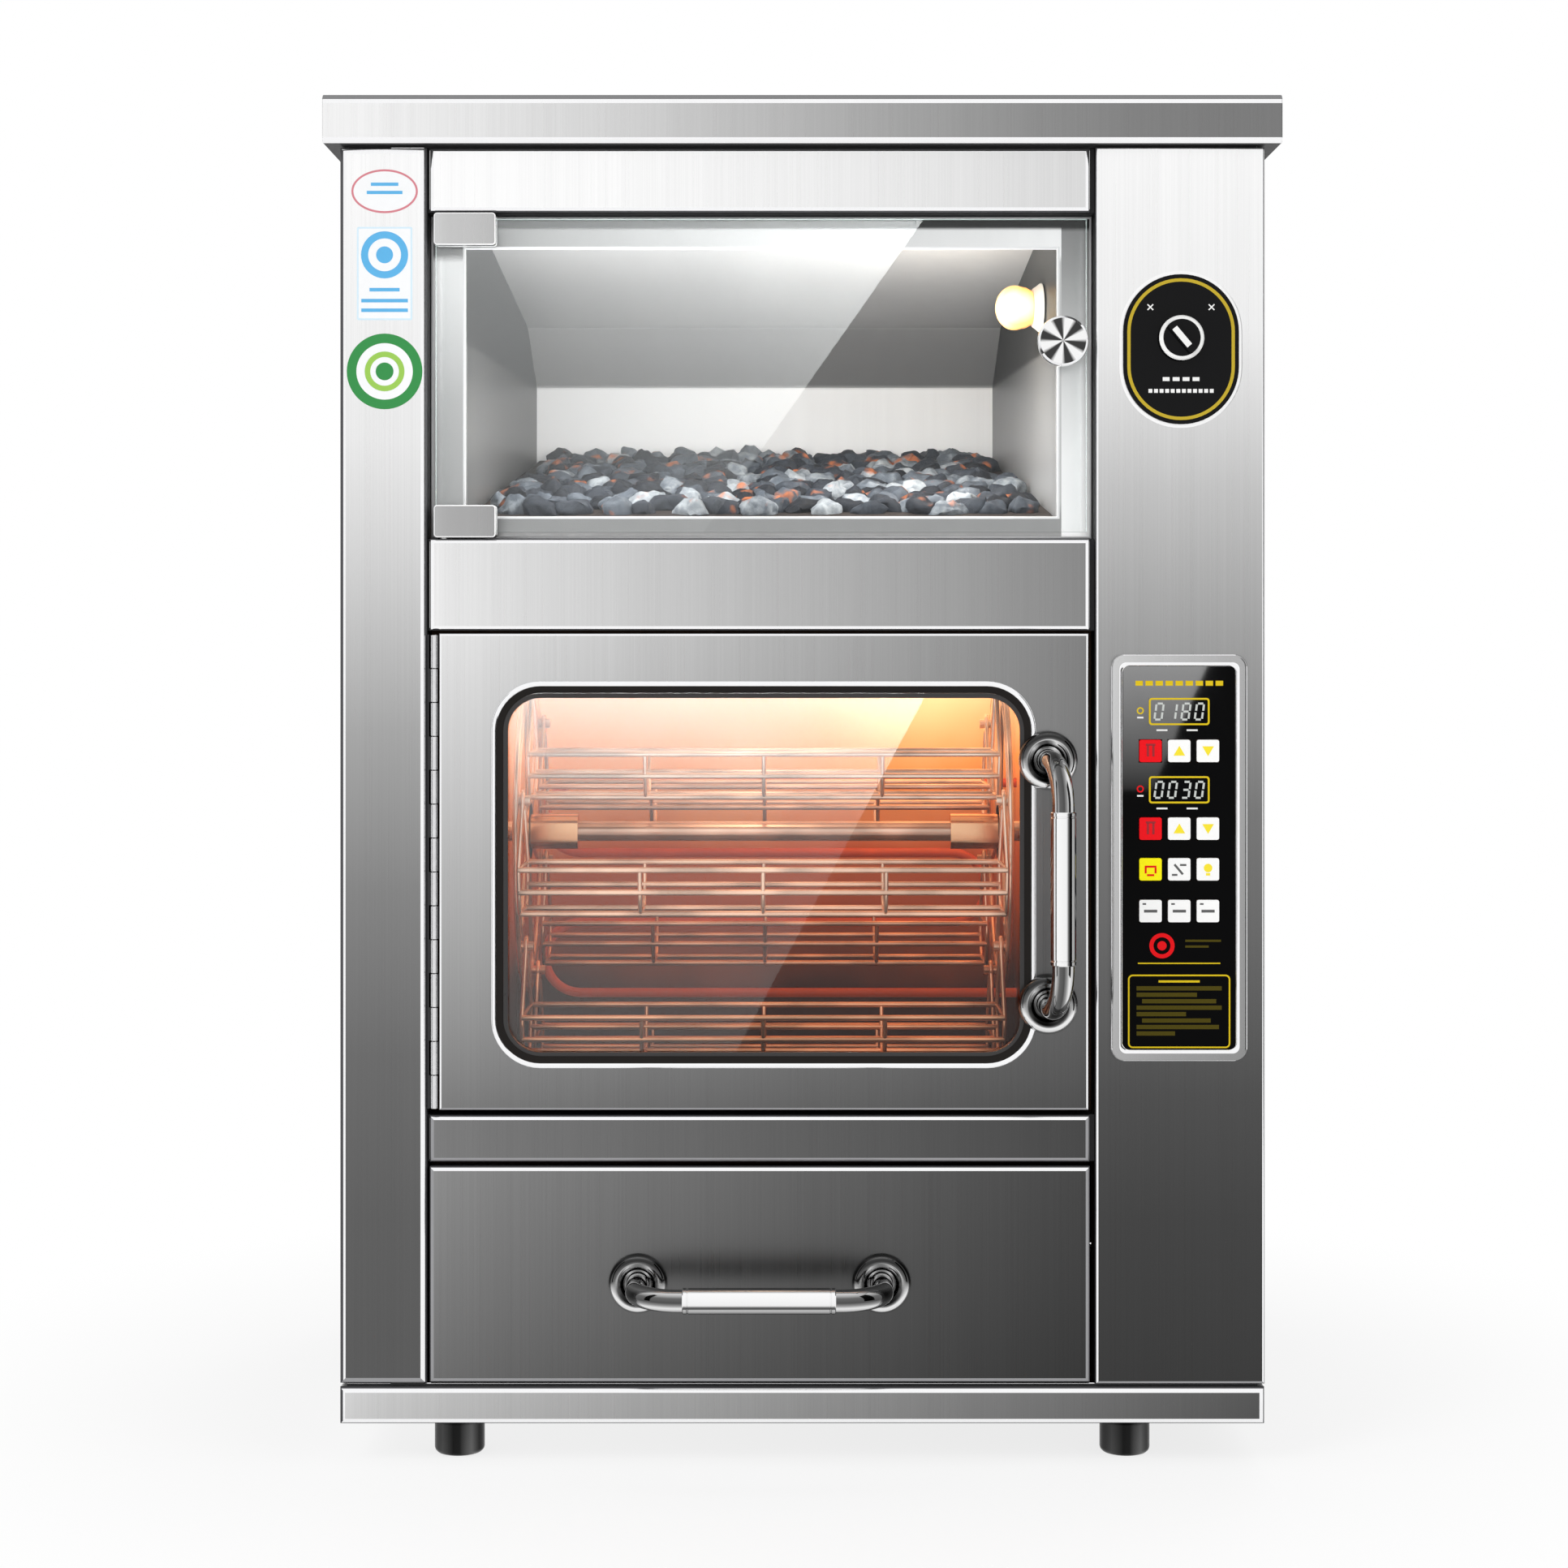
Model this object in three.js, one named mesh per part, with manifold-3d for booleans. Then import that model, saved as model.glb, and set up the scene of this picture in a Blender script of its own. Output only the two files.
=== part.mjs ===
// Upright electric roaster: a stainless cabinet with a glazed display case at the top, a glazed
// oven with a turning basket carousel in the middle, a drawer below and a control column.
// Millimetres, +Z up, front towards -Y, origin on the floor under the middle of the whole.

import * as THREE from 'three';
import { mergeVertices } from 'three/addons/utils/BufferGeometryUtils.js';
import Module from 'manifold-3d';

// Cabinet
const cabinetHeight = 998;
const cabinetWidth = 675;
const cabinetDepth = 520;
const sheet = 2;
const seatGap = 0.3;
const overrun = 4;
const shadowGap = 2.4;
const shadowInset = 5;
const cornerFlange = 37.5;
const rearFlange = 20;

// Worktop
const worktopSideOverhang = 11;
const worktopFrontOverhang = 12;
const worktopEdge = 35;
const worktopGap = 1.4;
const worktopReturn = 60;
const worktopRound = 3;

// Plinth and feet
const plinthHeight = 27;
const plinthFlange = 38;
const footHeight = 30;
const footDiameter = 37;
const footInset = 40;
const footRound = 3;
const footNeckDiameter = 30;
const footNeckHeight = 4;
const leftFootInset = 83.5;
const rightFootInset = 98;

// Stiles and the rails between them. The three bays share what the rails leave of the height.
const leftStileWidth = 63.5;
const controlColumnWidth = 123.5;
const stileReturn = 32.7;
const railSetback = 1;
const railDepth = 25;
const railLeftGap = 2;
const railRightGap = 4;
const railEndSetback = 6;
const headerHeight = 47;
const middleRailHeight = 67;
const lowerRailHeight = 34;
const displayPart = 238.6;
const ovenPart = 354;
const drawerPart = 161.6;

// Back panel
const ventRows = 9;
const ventPitch = 18;
const ventHeight = 6;
const ventWidth = 90;
const ventDrop = 101.6;
const ventInset = 137.5;
const cordHoleDiameter = 20;
const glandInset = 57.5;
const glandRise = 50.6;
const glandClearance = 0.5;
const glandFlangeDiameter = 32;
const glandFlange = 4;
const glandBodyDiameter = 24;
const glandBody = 8;
const glandDomeDiameter = 16;
const glandDome = 4;
const glandStub = 8;
const glandBore = 10;

// Display case
const displayFrameY = 22;
const displayFrameSide = 26;
const displayFrameFoot = 17;
const displayFrameTop = 24.5;
const displayRearSpace = 120;
const displaySplay = 21.5;
const displayFloorDrop = 9;
const displayCeilingRise = 18;
const displayBendY = 140;
const displaySteepDepth = 55;
const displaySlopeShare = 0.176;
const displaySteepShare = 0.1928;

// Stone bed
const bedGap = 1.5;
const bedFrontRise = 5;
const bedRiseShare = 0.2766;
const stoneRows = 6;
const stoneColumns = 9;
const stoneWidth = 19;
const stoneHeight = 12;
const stoneEdge = 20;
const stoneSink = 1;

// Case lamp
const lampY = 97;
const lampDrop = 34.8;
const lampDiameter = 38;
const lampHolderDepth = 8;
const lampNeckDiameter = 30;
const bulbDiameter = 34;
const bulbLength = 28;
const bulbTipDiameter = 16;

// Glass pane, its pivots and its knob
const pivotInset = 12;
const pivotY = 8;
const pivotPin = 6;
const pivotClearance = 0.4;
const pivotPinDepth = 6;
const paneThickness = 6;
const paneFoot = 5;
const paneHead = 4.6;
const paneLeftReach = 6;
const paneRightGap = 6;
const clampWidth = 44;
const clampHeight = 23.6;
const clampDepth = 16;
const clampRound = 5;
const clampOverlap = 19.6;
const paneKnobInset = 19;
const paneKnobDrop = 91;
const paneKnobDiameter = 37;
const paneKnobDepth = 12;
const paneKnobRound = 3;
const paneKnobNeck = 16;
const paneKnobNeckLength = 9;
const paneKnobBolt = 8;
const paneKnobWasher = 20;
const paneKnobWasherDepth = 3;
const boltClearance = 0.4;

// Oven liner
const linerFrontY = 33;
const linerInsetLeft = 21;
const linerInsetRight = 23;
const linerFootLap = 23;
const linerHeadLap = 18;
const linerRearSpace = 115;
const linerFlange = 44;
const mouthSideInset = 4;
const mouthDoorLap = 17;
const mouthRound = 14;

// Carousel
const carouselForward = 15;
const basketFloorGap = 12;
const axleDiameter = 16;
const axleClearance = 0.4;
const axleEndPlay = 12;
const wheelSideGap = 26;
const wheelThickness = 3;
const wheelRimMargin = 9;
const wheelRimWidth = 18;
const wheelHubDiameter = 48;
const spokeWidth = 11;
const hubBlock = 28;
const hubBlockLength = 38;
const basketCount = 6;
const pinCircleShare = 0.62728;
const pinDiameter = 8;
const pinLength = 9;
const pinClearance = 0.4;
const basketEndGap = 2;
const hangerThickness = 3;
const hangerEyeDiameter = 18;
const hangerBand = 6;
const troughDropShare = 0.21594;
const troughDepth = 34;
const troughHalfShare = 0.11351;
const troughSwell = 4;
const troughTaper = 16;
const rodDiameter = 4.4;
const hoopWidth = 3;
const hoopBand = 3;
const firstBasketAngle = 15;

// Heater
const heaterTube = 8;
const heaterRearGap = 17;
const heaterRise = 64;
const heaterPitch = 60;
const heaterPasses = 4;
const heaterMargin = 26;
const heaterTail = 12;
const heaterClearance = 0.4;

// Gearmotor
const motorPlate = 80;
const motorPlateThickness = 3;
const gearboxSize = 60;
const gearboxDepth = 45;
const socketDepth = 30;
const motorCanDiameter = 40;
const motorCanLength = 95;

// Oven door
const doorDepth = 27;
const doorTopGap = 2;
const doorFootGap = 4;
const doorLeftGap = 9;
const doorRightGap = 5;
const innerPanGap = 0.3;
const innerPanSetback = 16;
const innerPanProud = 1;
const windowSideMargin = 47;
const windowFootMargin = 39;
const windowHeadMargin = 44;
const windowRound = 27;
const trimWidth = 7;
const trimProud = 3;
const trimLip = 3;
const glassLap = 12;
const glassThickness = 5;
const sealInset = 4;
const sealWidth = 9;

// Piano hinge
const hingeSetX = 5.5;
const hingeSetY = 1.2;
const knuckleCount = 14;
const knuckleDiameter = 5.4;
const knuckleGap = 0.5;
const hingePin = 2.2;
const hingeBore = 3.2;
const hingeLeaf = 1.2;
const hingeLeafDepth = 16;
const hingeWebRise = 0.6;
const hingeEndGap = 1;

// Tube handles of the door and the drawer
const handleTube = 16;
const handleSpan = 177.5;
const handleReach = 60;
const handleBend = 32;
const sleeveDiameter = 18.5;
const sleeveLength = 109;
const rosetteDiameter = 43;
const rosetteHeight = 8;
const rosetteRound = 4;
const rosetteFootDiameter = 18;
const doorHandleInset = 30;
const doorHandleDrop = 7.5;
const doorHandleLean = 6;
const drawerHandleDrop = 6.2;

// Drawer
const drawerFrontDepth = 22;
const drawerFrontFlange = 45;
const drawerTopGap = 3;
const drawerFootGap = 1;
const drawerBoxInsetLeft = 32;
const drawerBoxInsetRight = 27;
const drawerBoxFoot = 8.6;
const drawerBoxHead = 13;
const drawerRearSpace = 80;
const guideWidth = 20;
const guideFrontY = 40;
const guideInset = 6;

// Light switch
const switchInset = 62;
const switchRise = 18.7;
const switchPlateWidth = 84.6;
const switchPlateHeight = 109.5;
const switchPlateDepth = 2.2;
const switchKnobRise = 8;
const switchKnobDiameter = 34;
const switchKnobDepth = 5;
const switchGripWidth = 8;
const switchGripLength = 26;
const switchGripDepth = 9;
const switchGripTurn = 40;
const switchSpindle = 8;
const switchSpindleTail = 14;
const switchHoleDiameter = 9;

// Control panel
const bezelInset = 60.5;
const bezelRise = 11.5;
const bezelWidth = 99.5;
const bezelHeight = 296.6;
const bezelDepth = 5;
const bezelBand = 8.6;
const bezelRound = 8;
const fasciaDepth = 2.7;
const fasciaGap = 0.3;
const panelCutInset = 7;
const readoutWidth = 44.4;
const readoutHeight = 20;
const readoutRise = 0.6;
const readoutRises = [106.5, 49.5];
const keySize = 16.5;
const keyPitch = 20.9;
const keyProud = 1.2;
const keyTail = 4;
const keyClearance = 0.3;
const keyRowRises = [77.8, 21.2, -8.4, -38.8];

// Facets
const largeSides = 36;
const roundSides = 16;
const smallSides = 12;
const tinySides = 6;
const rodSides = 4;
const cornerSteps = 3;
const bendSteps = 5;
const cornerGrain = 1 / 1024;

// Levels and edges that several pieces share
const halfWidth = cabinetWidth / 2;
const plinthTop = footHeight + plinthHeight;
const bodyBottom = plinthTop + shadowGap;
const worktopBottom = cabinetHeight - worktopEdge;
const bodyTop = worktopBottom - worktopGap;
const bodyBackY = cabinetDepth - sheet - seatGap;
const baysHeight = bodyTop - bodyBottom - headerHeight - middleRailHeight - lowerRailHeight;
const bayShare = baysHeight / (displayPart + ovenPart + drawerPart);
const displayHeight = displayPart * bayShare;
const ovenBayHeight = ovenPart * bayShare;
const bayLeft = leftStileWidth - halfWidth;
const bayRight = halfWidth - controlColumnWidth;
const railLeft = bayLeft + railLeftGap;
const railRight = bayRight - railRightGap;
const railBackY = railSetback + railDepth;
const headerBottom = bodyTop - headerHeight;
const middleRailTop = headerBottom - displayHeight;
const middleRailBottom = middleRailTop - middleRailHeight;
const lowerRailTop = middleRailBottom - ovenBayHeight;
const lowerRailBottom = lowerRailTop - lowerRailHeight;
const hingeX = bayLeft + hingeSetX;
const doorLeft = bayLeft + doorLeftGap;
const doorRight = bayRight - doorRightGap;
const doorBottom = lowerRailTop + doorFootGap;
const doorTop = middleRailBottom - doorTopGap;
const drawerBoxBottom = bodyBottom + drawerBoxFoot;
const drawerBoxBackY = cabinetDepth - drawerRearSpace;
const displayBackY = cabinetDepth - displayRearSpace;
const displaySlopeY = displayBackY - displaySteepDepth;
const linerLeft = doorLeft + linerInsetLeft;
const linerRight = doorRight - linerInsetRight;
const linerFloorZ = doorBottom - linerFootLap;
const linerCeilingZ = doorTop + linerHeadLap;
const linerBackY = cabinetDepth - linerRearSpace;
const linerHeight = linerCeilingZ - linerFloorZ;
const linerDepth = linerBackY - linerFrontY - sheet;
const linerMiddleX = (linerLeft + linerRight) / 2;
const mouthWidth = linerRight - linerLeft - 2 * mouthSideInset;
const mouthHeight = doorTop - doorBottom - 2 * mouthDoorLap;
const windowWidth = doorRight - doorLeft - 2 * windowSideMargin;
const windowHeight = doorTop - doorBottom - windowFootMargin - windowHeadMargin;
const windowX = (doorLeft + doorRight) / 2;
const windowZ = doorBottom + windowFootMargin + windowHeight / 2;
const pivotX = bayLeft + pivotInset;
const paneRight = bayRight - paneRightGap;
const bezelX = bayRight + bezelInset;
const bezelZ = lowerRailTop + ovenBayHeight / 2 + bezelRise;
const switchX = bayRight + switchInset;
const switchZ = middleRailTop + displayHeight / 2 + switchRise;
const paneBottom = middleRailTop + paneFoot;
const paneTop = headerBottom - paneHead;
const paneKnobX = paneRight - paneKnobInset;
const paneKnobZ = paneTop - paneKnobDrop;
const wheelPhase = THREE.MathUtils.degToRad(firstBasketAngle);

// The carousel is as large as the height and the depth of the liner let it be.
const pinCircle = pinCircleShare * Math.cbrt(linerHeight * linerDepth ** 2);
const wheelDiameter = pinCircle + 2 * wheelRimMargin;
const wheelX = (linerRight - linerLeft) / 2 - wheelSideGap - wheelThickness;
const basketHalfLength = wheelX - basketEndGap;
const troughBottom = troughDropShare * linerHeight;
const troughTop = troughBottom - troughDepth;
const troughMiddle = troughBottom - troughDepth / 2;
const troughTopHalf = troughHalfShare * linerDepth;
const troughMiddleHalf = troughTopHalf - troughSwell;
const troughBottomHalf = troughTopHalf - troughTaper;
const carouselY = linerBackY - linerDepth / 2 - carouselForward;
const carouselZ = linerFloorZ + basketFloorGap + troughBottom + pinCircle / 2;
const heaterY = linerBackY - heaterRearGap;
const heaterFootZ = linerFloorZ + heaterRise;

const wasm = await Module();
wasm.setup();

// A closed solid from a three.js geometry, with its faces outward. Its corners are rounded to a
// fine grain, so that faces meant to lie in one plane do so exactly.
function solid(geometry) {
  const bare = geometry.clone();
  for (const name of Object.keys(bare.attributes)) {
    if (name !== 'position') bare.deleteAttribute(name);
  }
  const places = bare.attributes.position.array;
  for (let i = 0; i < places.length; i += 1) {
    places[i] = Math.round(places[i] / cornerGrain) * cornerGrain;
  }
  const merged = mergeVertices(bare);
  const corners = merged.index.array;
  const at = merged.attributes.position;
  const faces = [];
  let volume = 0;
  const [a, b, c] = [new THREE.Vector3(), new THREE.Vector3(), new THREE.Vector3()];
  for (let i = 0; i < corners.length; i += 3) {
    const [i0, i1, i2] = [corners[i], corners[i + 1], corners[i + 2]];
    if (i0 === i1 || i1 === i2 || i2 === i0) continue;
    faces.push([i0, i1, i2]);
    a.fromBufferAttribute(at, i0);
    b.fromBufferAttribute(at, i1);
    c.fromBufferAttribute(at, i2);
    volume += a.dot(b.cross(c));
  }
  const outward = volume > 0 ? faces : faces.map(([i0, i1, i2]) => [i0, i2, i1]);
  return new wasm.Manifold(new wasm.Mesh({
    numProp: 3,
    vertProperties: new Float32Array(at.array),
    triVerts: new Uint32Array(outward.flat()),
  }));
}

// A box between two corners.
function block([x0, x1], [y0, y1], [z0, z1]) {
  const box = new THREE.BoxGeometry(x1 - x0, y1 - y0, z1 - z0);
  box.translate((x0 + x1) / 2, (y0 + y1) / 2, (z0 + z1) / 2);
  return solid(box);
}

// A box around a centre point.
function blockAt([x, y, z], [width, depth, height]) {
  const box = new THREE.BoxGeometry(width, depth, height);
  box.translate(x, y, z);
  return solid(box);
}

// Turns what was extruded along +Z so that it lies along another axis.
const layAlong = {
  x: new THREE.Matrix4().makeBasis(
    new THREE.Vector3(0, 1, 0), new THREE.Vector3(0, 0, 1), new THREE.Vector3(1, 0, 0)),
  y: new THREE.Matrix4().makeBasis(
    new THREE.Vector3(1, 0, 0), new THREE.Vector3(0, 0, 1), new THREE.Vector3(0, -1, 0)),
  z: new THREE.Matrix4(),
};

// A shape extruded between two places on an axis. Along x it is drawn in (y, z), along y in
// (x, z) and along z in (x, y).
function extruded(shape, axis, from, to) {
  const geometry = new THREE.ExtrudeGeometry(shape, {
    depth: to - from, bevelEnabled: false, curveSegments: cornerSteps,
  });
  geometry.applyMatrix4(layAlong[axis]);
  const shift = { x: [from, 0, 0], y: [0, to, 0], z: [0, 0, from] }[axis];
  geometry.translate(...shift);
  return solid(geometry);
}

function polygon(points) {
  return new THREE.Shape(points.map(([u, v]) => new THREE.Vector2(u, v)));
}

// A rounded rectangle about a centre point.
function roundedRect([u, v], width, height, radius) {
  const [right, top] = [u + width / 2, v + height / 2];
  const [left, foot] = [u - width / 2, v - height / 2];
  const shape = new THREE.Shape();
  shape.absarc(right - radius, foot + radius, radius, -Math.PI / 2, 0);
  shape.absarc(right - radius, top - radius, radius, 0, Math.PI / 2);
  shape.absarc(left + radius, top - radius, radius, Math.PI / 2, Math.PI);
  shape.absarc(left + radius, foot + radius, radius, Math.PI, Math.PI * 3 / 2);
  return shape;
}

// A flat frame: a rounded rectangle with a smaller one cut out of it.
function frame(centre, width, height, radius, band, innerRadius, from, to) {
  const outer = extruded(roundedRect(centre, width, height, radius), 'y', from, to);
  const opening = roundedRect(centre, width - 2 * band, height - 2 * band, innerRadius);
  return outer.subtract(extruded(opening, 'y', from - overrun, to + overrun));
}

// A round bar between two places on an axis, through a centre point.
function bar(diameter, sides, axis, [x, y, z], from, to) {
  const geometry = new THREE.CylinderGeometry(diameter / 2, diameter / 2, to - from, sides);
  if (axis === 'x') geometry.rotateZ(-Math.PI / 2);
  if (axis === 'z') geometry.rotateX(Math.PI / 2);
  const middle = (from + to) / 2;
  const centre = { x: [middle, y, z], y: [x, middle, z], z: [x, y, middle] }[axis];
  geometry.translate(...centre);
  return solid(geometry);
}

// A turned piece about the z axis from a profile of [radius, height] points.
function turned(profile, sides) {
  const points = profile.map(([radius, height]) => new THREE.Vector2(radius, height));
  const geometry = new THREE.LatheGeometry(points, sides);
  geometry.rotateX(Math.PI / 2);
  return solid(geometry);
}

// A path that runs straight from knot to knot, so that a tube has a ring only at each knot.
class KnotPath extends THREE.Curve {
  constructor(knots) {
    super();
    this.knots = knots;
  }

  getPoint(t) {
    const place = t * (this.knots.length - 1);
    const index = Math.min(Math.round(place), this.knots.length - 1);
    return this.knots[index].clone();
  }

  getPointAt(t) {
    return this.getPoint(t);
  }

  getTangentAt(t) {
    const index = Math.round(t * (this.knots.length - 1));
    const before = this.knots[Math.max(index - 1, 0)];
    const here = this.knots[index];
    const after = this.knots[Math.min(index + 1, this.knots.length - 1)];
    const into = here.clone().sub(before).normalize();
    const away = after.clone().sub(here).normalize();
    return into.add(away).normalize();
  }
}

function tube(knots, diameter, sides) {
  const section = [];
  for (let i = 0; i < sides; i += 1) {
    const turn = 2 * Math.PI * i / sides;
    section.push([Math.cos(turn) * diameter / 2, Math.sin(turn) * diameter / 2]);
  }
  const path = new KnotPath(knots.map(([x, y, z]) => new THREE.Vector3(x, y, z)));
  return solid(new THREE.ExtrudeGeometry(polygon(section), {
    steps: knots.length - 1, extrudePath: path, bevelEnabled: false,
  }));
}

function joined(...solids) {
  return solids.reduce((whole, piece) => whole.add(piece));
}

const finishes = {
  brushed: { color: 0xb9bbbd, roughness: 0.34, metalness: 1 },
  darkBrushed: { color: 0x77797c, roughness: 0.36, metalness: 1 },
  bright: { color: 0xe4e6e8, roughness: 0.12, metalness: 1 },
  liner: { color: 0x8c8b88, roughness: 0.42, metalness: 1 },
  glass: { color: 0xdfe8ea, roughness: 0.04, metalness: 0, transparent: true, opacity: 0.3 },
  rubber: { color: 0x141414, roughness: 0.7, metalness: 0 },
  black: { color: 0x0c0c0d, roughness: 0.25, metalness: 0 },
  seal: { color: 0x3a3632, roughness: 0.9, metalness: 0 },
  stone: { color: 0x4d5157, roughness: 0.85, metalness: 0 },
  ceramic: { color: 0xe9e4d8, roughness: 0.5, metalness: 0 },
  lamp: { color: 0xffd890, roughness: 0.3, metalness: 0, emissive: 0xffb850 },
  heater: { color: 0x5a3a30, roughness: 0.6, metalness: 0.6, emissive: 0x551400 },
  motor: { color: 0x2b3440, roughness: 0.5, metalness: 0.3 },
  redKey: { color: 0xc81a20, roughness: 0.45, metalness: 0 },
  yellowKey: { color: 0xf0d000, roughness: 0.45, metalness: 0 },
  whiteKey: { color: 0xf2f2f0, roughness: 0.45, metalness: 0 },
};

// Adds a piece to a group as its own named mesh.
function put(group, name, body, finish) {
  const { vertProperties, triVerts } = body.getMesh();
  const geometry = new THREE.BufferGeometry();
  geometry.setAttribute('position', new THREE.BufferAttribute(vertProperties, 3));
  geometry.setIndex(new THREE.BufferAttribute(triVerts, 1));
  geometry.computeVertexNormals();
  const mesh = new THREE.Mesh(geometry, new THREE.MeshStandardMaterial(finishes[finish]));
  mesh.name = name;
  group.add(mesh);
  return mesh;
}

function subgroup(parent, x, y, z) {
  const inner = new THREE.Group();
  inner.position.set(x, y, z);
  parent.add(inner);
  return inner;
}

const group = new THREE.Group();

// The worktop is a folded tray with its edges turned back under, on a set-back rim that leaves
// the shadow line above the cabinet.
function worktop() {
  const halfTop = halfWidth + worktopSideOverhang;
  const depth = cabinetDepth + worktopFrontOverhang;
  const middleY = cabinetDepth - depth / 2;
  const edge = polygon([
    [-worktopFrontOverhang, worktopBottom + worktopRound],
    [worktopRound - worktopFrontOverhang, worktopBottom],
    [cabinetDepth, worktopBottom],
    [cabinetDepth, cabinetHeight],
    [worktopRound - worktopFrontOverhang, cabinetHeight],
    [-worktopFrontOverhang, cabinetHeight - worktopRound],
  ]);
  const slab = extruded(edge, 'x', -halfTop, halfTop);
  const hollow = blockAt([0, middleY, worktopBottom + worktopEdge / 2],
    [2 * (halfTop - sheet), depth - 2 * (sheet + worktopRound), worktopEdge - 2 * sheet]);
  const rimHalf = halfWidth - shadowInset;
  const rim = block([-rimHalf, rimHalf], [shadowInset, cabinetDepth - shadowInset],
    [bodyTop + seatGap, worktopBottom + sheet]);
  const opening = block([worktopReturn - halfTop, halfTop - worktopReturn],
    [worktopReturn - worktopFrontOverhang, cabinetDepth - worktopReturn],
    [bodyTop - overrun, worktopBottom + sheet + overrun]);
  return slab.subtract(hollow).add(rim).subtract(opening);
}
put(group, 'worktop', worktop(), 'brushed');

// The plinth is a folded tray, closed below, with two drawer guides folded up from its floor.
function plinth() {
  const inner = halfWidth - sheet;
  const open = halfWidth - plinthFlange;
  const tray = block([-halfWidth, halfWidth], [0, cabinetDepth], [footHeight, plinthTop])
    .subtract(block([-inner, inner], [sheet, cabinetDepth - sheet],
      [footHeight + sheet, plinthTop - sheet]));
  const rimHalf = halfWidth - shadowInset;
  const rim = block([-rimHalf, rimHalf], [shadowInset, cabinetDepth - shadowInset],
    [plinthTop - sheet, bodyBottom - seatGap]);
  const opening = block([-open, open], [plinthFlange, cabinetDepth - plinthFlange],
    [plinthTop - sheet - overrun, bodyBottom + overrun]);
  const guideZ = [footHeight, drawerBoxBottom - seatGap];
  const guideY = [guideFrontY, drawerBoxBackY];
  const leftGuide = bayLeft + drawerBoxInsetLeft + guideInset;
  const rightGuide = bayRight - drawerBoxInsetRight - guideInset;
  return joined(tray, rim).subtract(opening).add(
    block([leftGuide, leftGuide + guideWidth], guideY, guideZ),
  ).add(block([rightGuide - guideWidth, rightGuide], guideY, guideZ));
}
put(group, 'base_plinth', plinth(), 'darkBrushed');

function foot() {
  const radius = footDiameter / 2;
  const neck = footNeckDiameter / 2;
  const top = footHeight - seatGap;
  return turned([
    [0, 0], [radius - footRound, 0], [radius, footRound],
    [radius, top - footNeckHeight], [neck, top], [0, top],
  ], roundSides);
}
const footPlaces = {
  foot_front_left: [leftFootInset - halfWidth, footInset],
  foot_front_right: [halfWidth - rightFootInset, footInset],
  foot_rear_left: [leftFootInset - halfWidth, cabinetDepth - footInset],
  foot_rear_right: [halfWidth - rightFootInset, cabinetDepth - footInset],
};
for (const [name, [x, y]] of Object.entries(footPlaces)) {
  put(subgroup(group, x, y, 0), name, foot(), 'rubber');
}

// Each side is one folded sheet with flanges along its top, foot and rear.
function sideFlanges(side, frontY) {
  const edges = [side * (halfWidth - sheet / 2), side * (halfWidth - cornerFlange)];
  const across = [Math.min(...edges), Math.max(...edges)];
  const along = [frontY + sheet / 2, bodyBackY - sheet / 2];
  return joined(
    block(across, along, [bodyTop - sheet, bodyTop]),
    block(across, along, [bodyBottom, bodyBottom + sheet]),
  );
}

function leftSide() {
  const wall = sheet - halfWidth;
  const fold = polygon([
    [-halfWidth, 0], [bayLeft, 0], [bayLeft, stileReturn], [bayLeft - sheet, stileReturn],
    [bayLeft - sheet, sheet], [wall, sheet], [wall, bodyBackY - sheet],
    [rearFlange - halfWidth, bodyBackY - sheet], [rearFlange - halfWidth, bodyBackY],
    [-halfWidth, bodyBackY],
  ]);
  return extruded(fold, 'z', bodyBottom, bodyTop)
    .add(sideFlanges(-1, 0));
}
put(group, 'left_side_panel', leftSide(), 'brushed');

function rightSide() {
  const wall = halfWidth - sheet;
  const frontY = sheet + seatGap;
  const fold = polygon([
    [halfWidth, frontY], [halfWidth, bodyBackY], [halfWidth - rearFlange, bodyBackY],
    [halfWidth - rearFlange, bodyBackY - sheet], [wall, bodyBackY - sheet],
    [wall, frontY + sheet], [halfWidth - rearFlange, frontY + sheet],
    [halfWidth - rearFlange, frontY],
  ]);
  return extruded(fold, 'z', bodyBottom, bodyTop)
    .add(sideFlanges(1, frontY));
}
put(group, 'right_side_panel', rightSide(), 'brushed');

// The control column is the wide right stile, cut out behind the key panel and for the switch.
function controlColumn() {
  const fold = polygon([
    [bayRight, 0], [halfWidth, 0], [halfWidth, sheet], [bayRight + sheet, sheet],
    [bayRight + sheet, stileReturn], [bayRight, stileReturn],
  ]);
  const panelCut = blockAt([bezelX, sheet / 2, bezelZ],
    [bezelWidth - 2 * (bezelBand + panelCutInset), sheet + overrun,
      bezelHeight - 2 * (bezelBand + panelCutInset)]);
  const switchHole = bar(switchHoleDiameter, smallSides, 'y',
    [switchX, 0, switchZ + switchKnobRise], -overrun, sheet + overrun);
  return extruded(fold, 'z', bodyBottom, bodyTop).subtract(panelCut).subtract(switchHole);
}
put(group, 'control_column', controlColumn(), 'brushed');

const glandPlace = [halfWidth - glandInset, bodyBottom + glandRise];

function backPanel() {
  let panel = block([-halfWidth, halfWidth], [cabinetDepth - sheet, cabinetDepth],
    [bodyBottom, bodyTop]);
  for (const x of [ventInset - halfWidth, halfWidth - ventInset]) {
    for (let row = 0; row < ventRows; row += 1) {
      panel = panel.subtract(blockAt([x, cabinetDepth, bodyTop - ventDrop - row * ventPitch],
        [ventWidth, overrun + sheet, ventHeight]));
    }
  }
  return panel.subtract(bar(cordHoleDiameter, roundSides, 'y', [glandPlace[0], 0, glandPlace[1]],
    cabinetDepth - sheet - overrun, cabinetDepth + overrun));
}
put(group, 'back_panel', backPanel(), 'darkBrushed');

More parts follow.
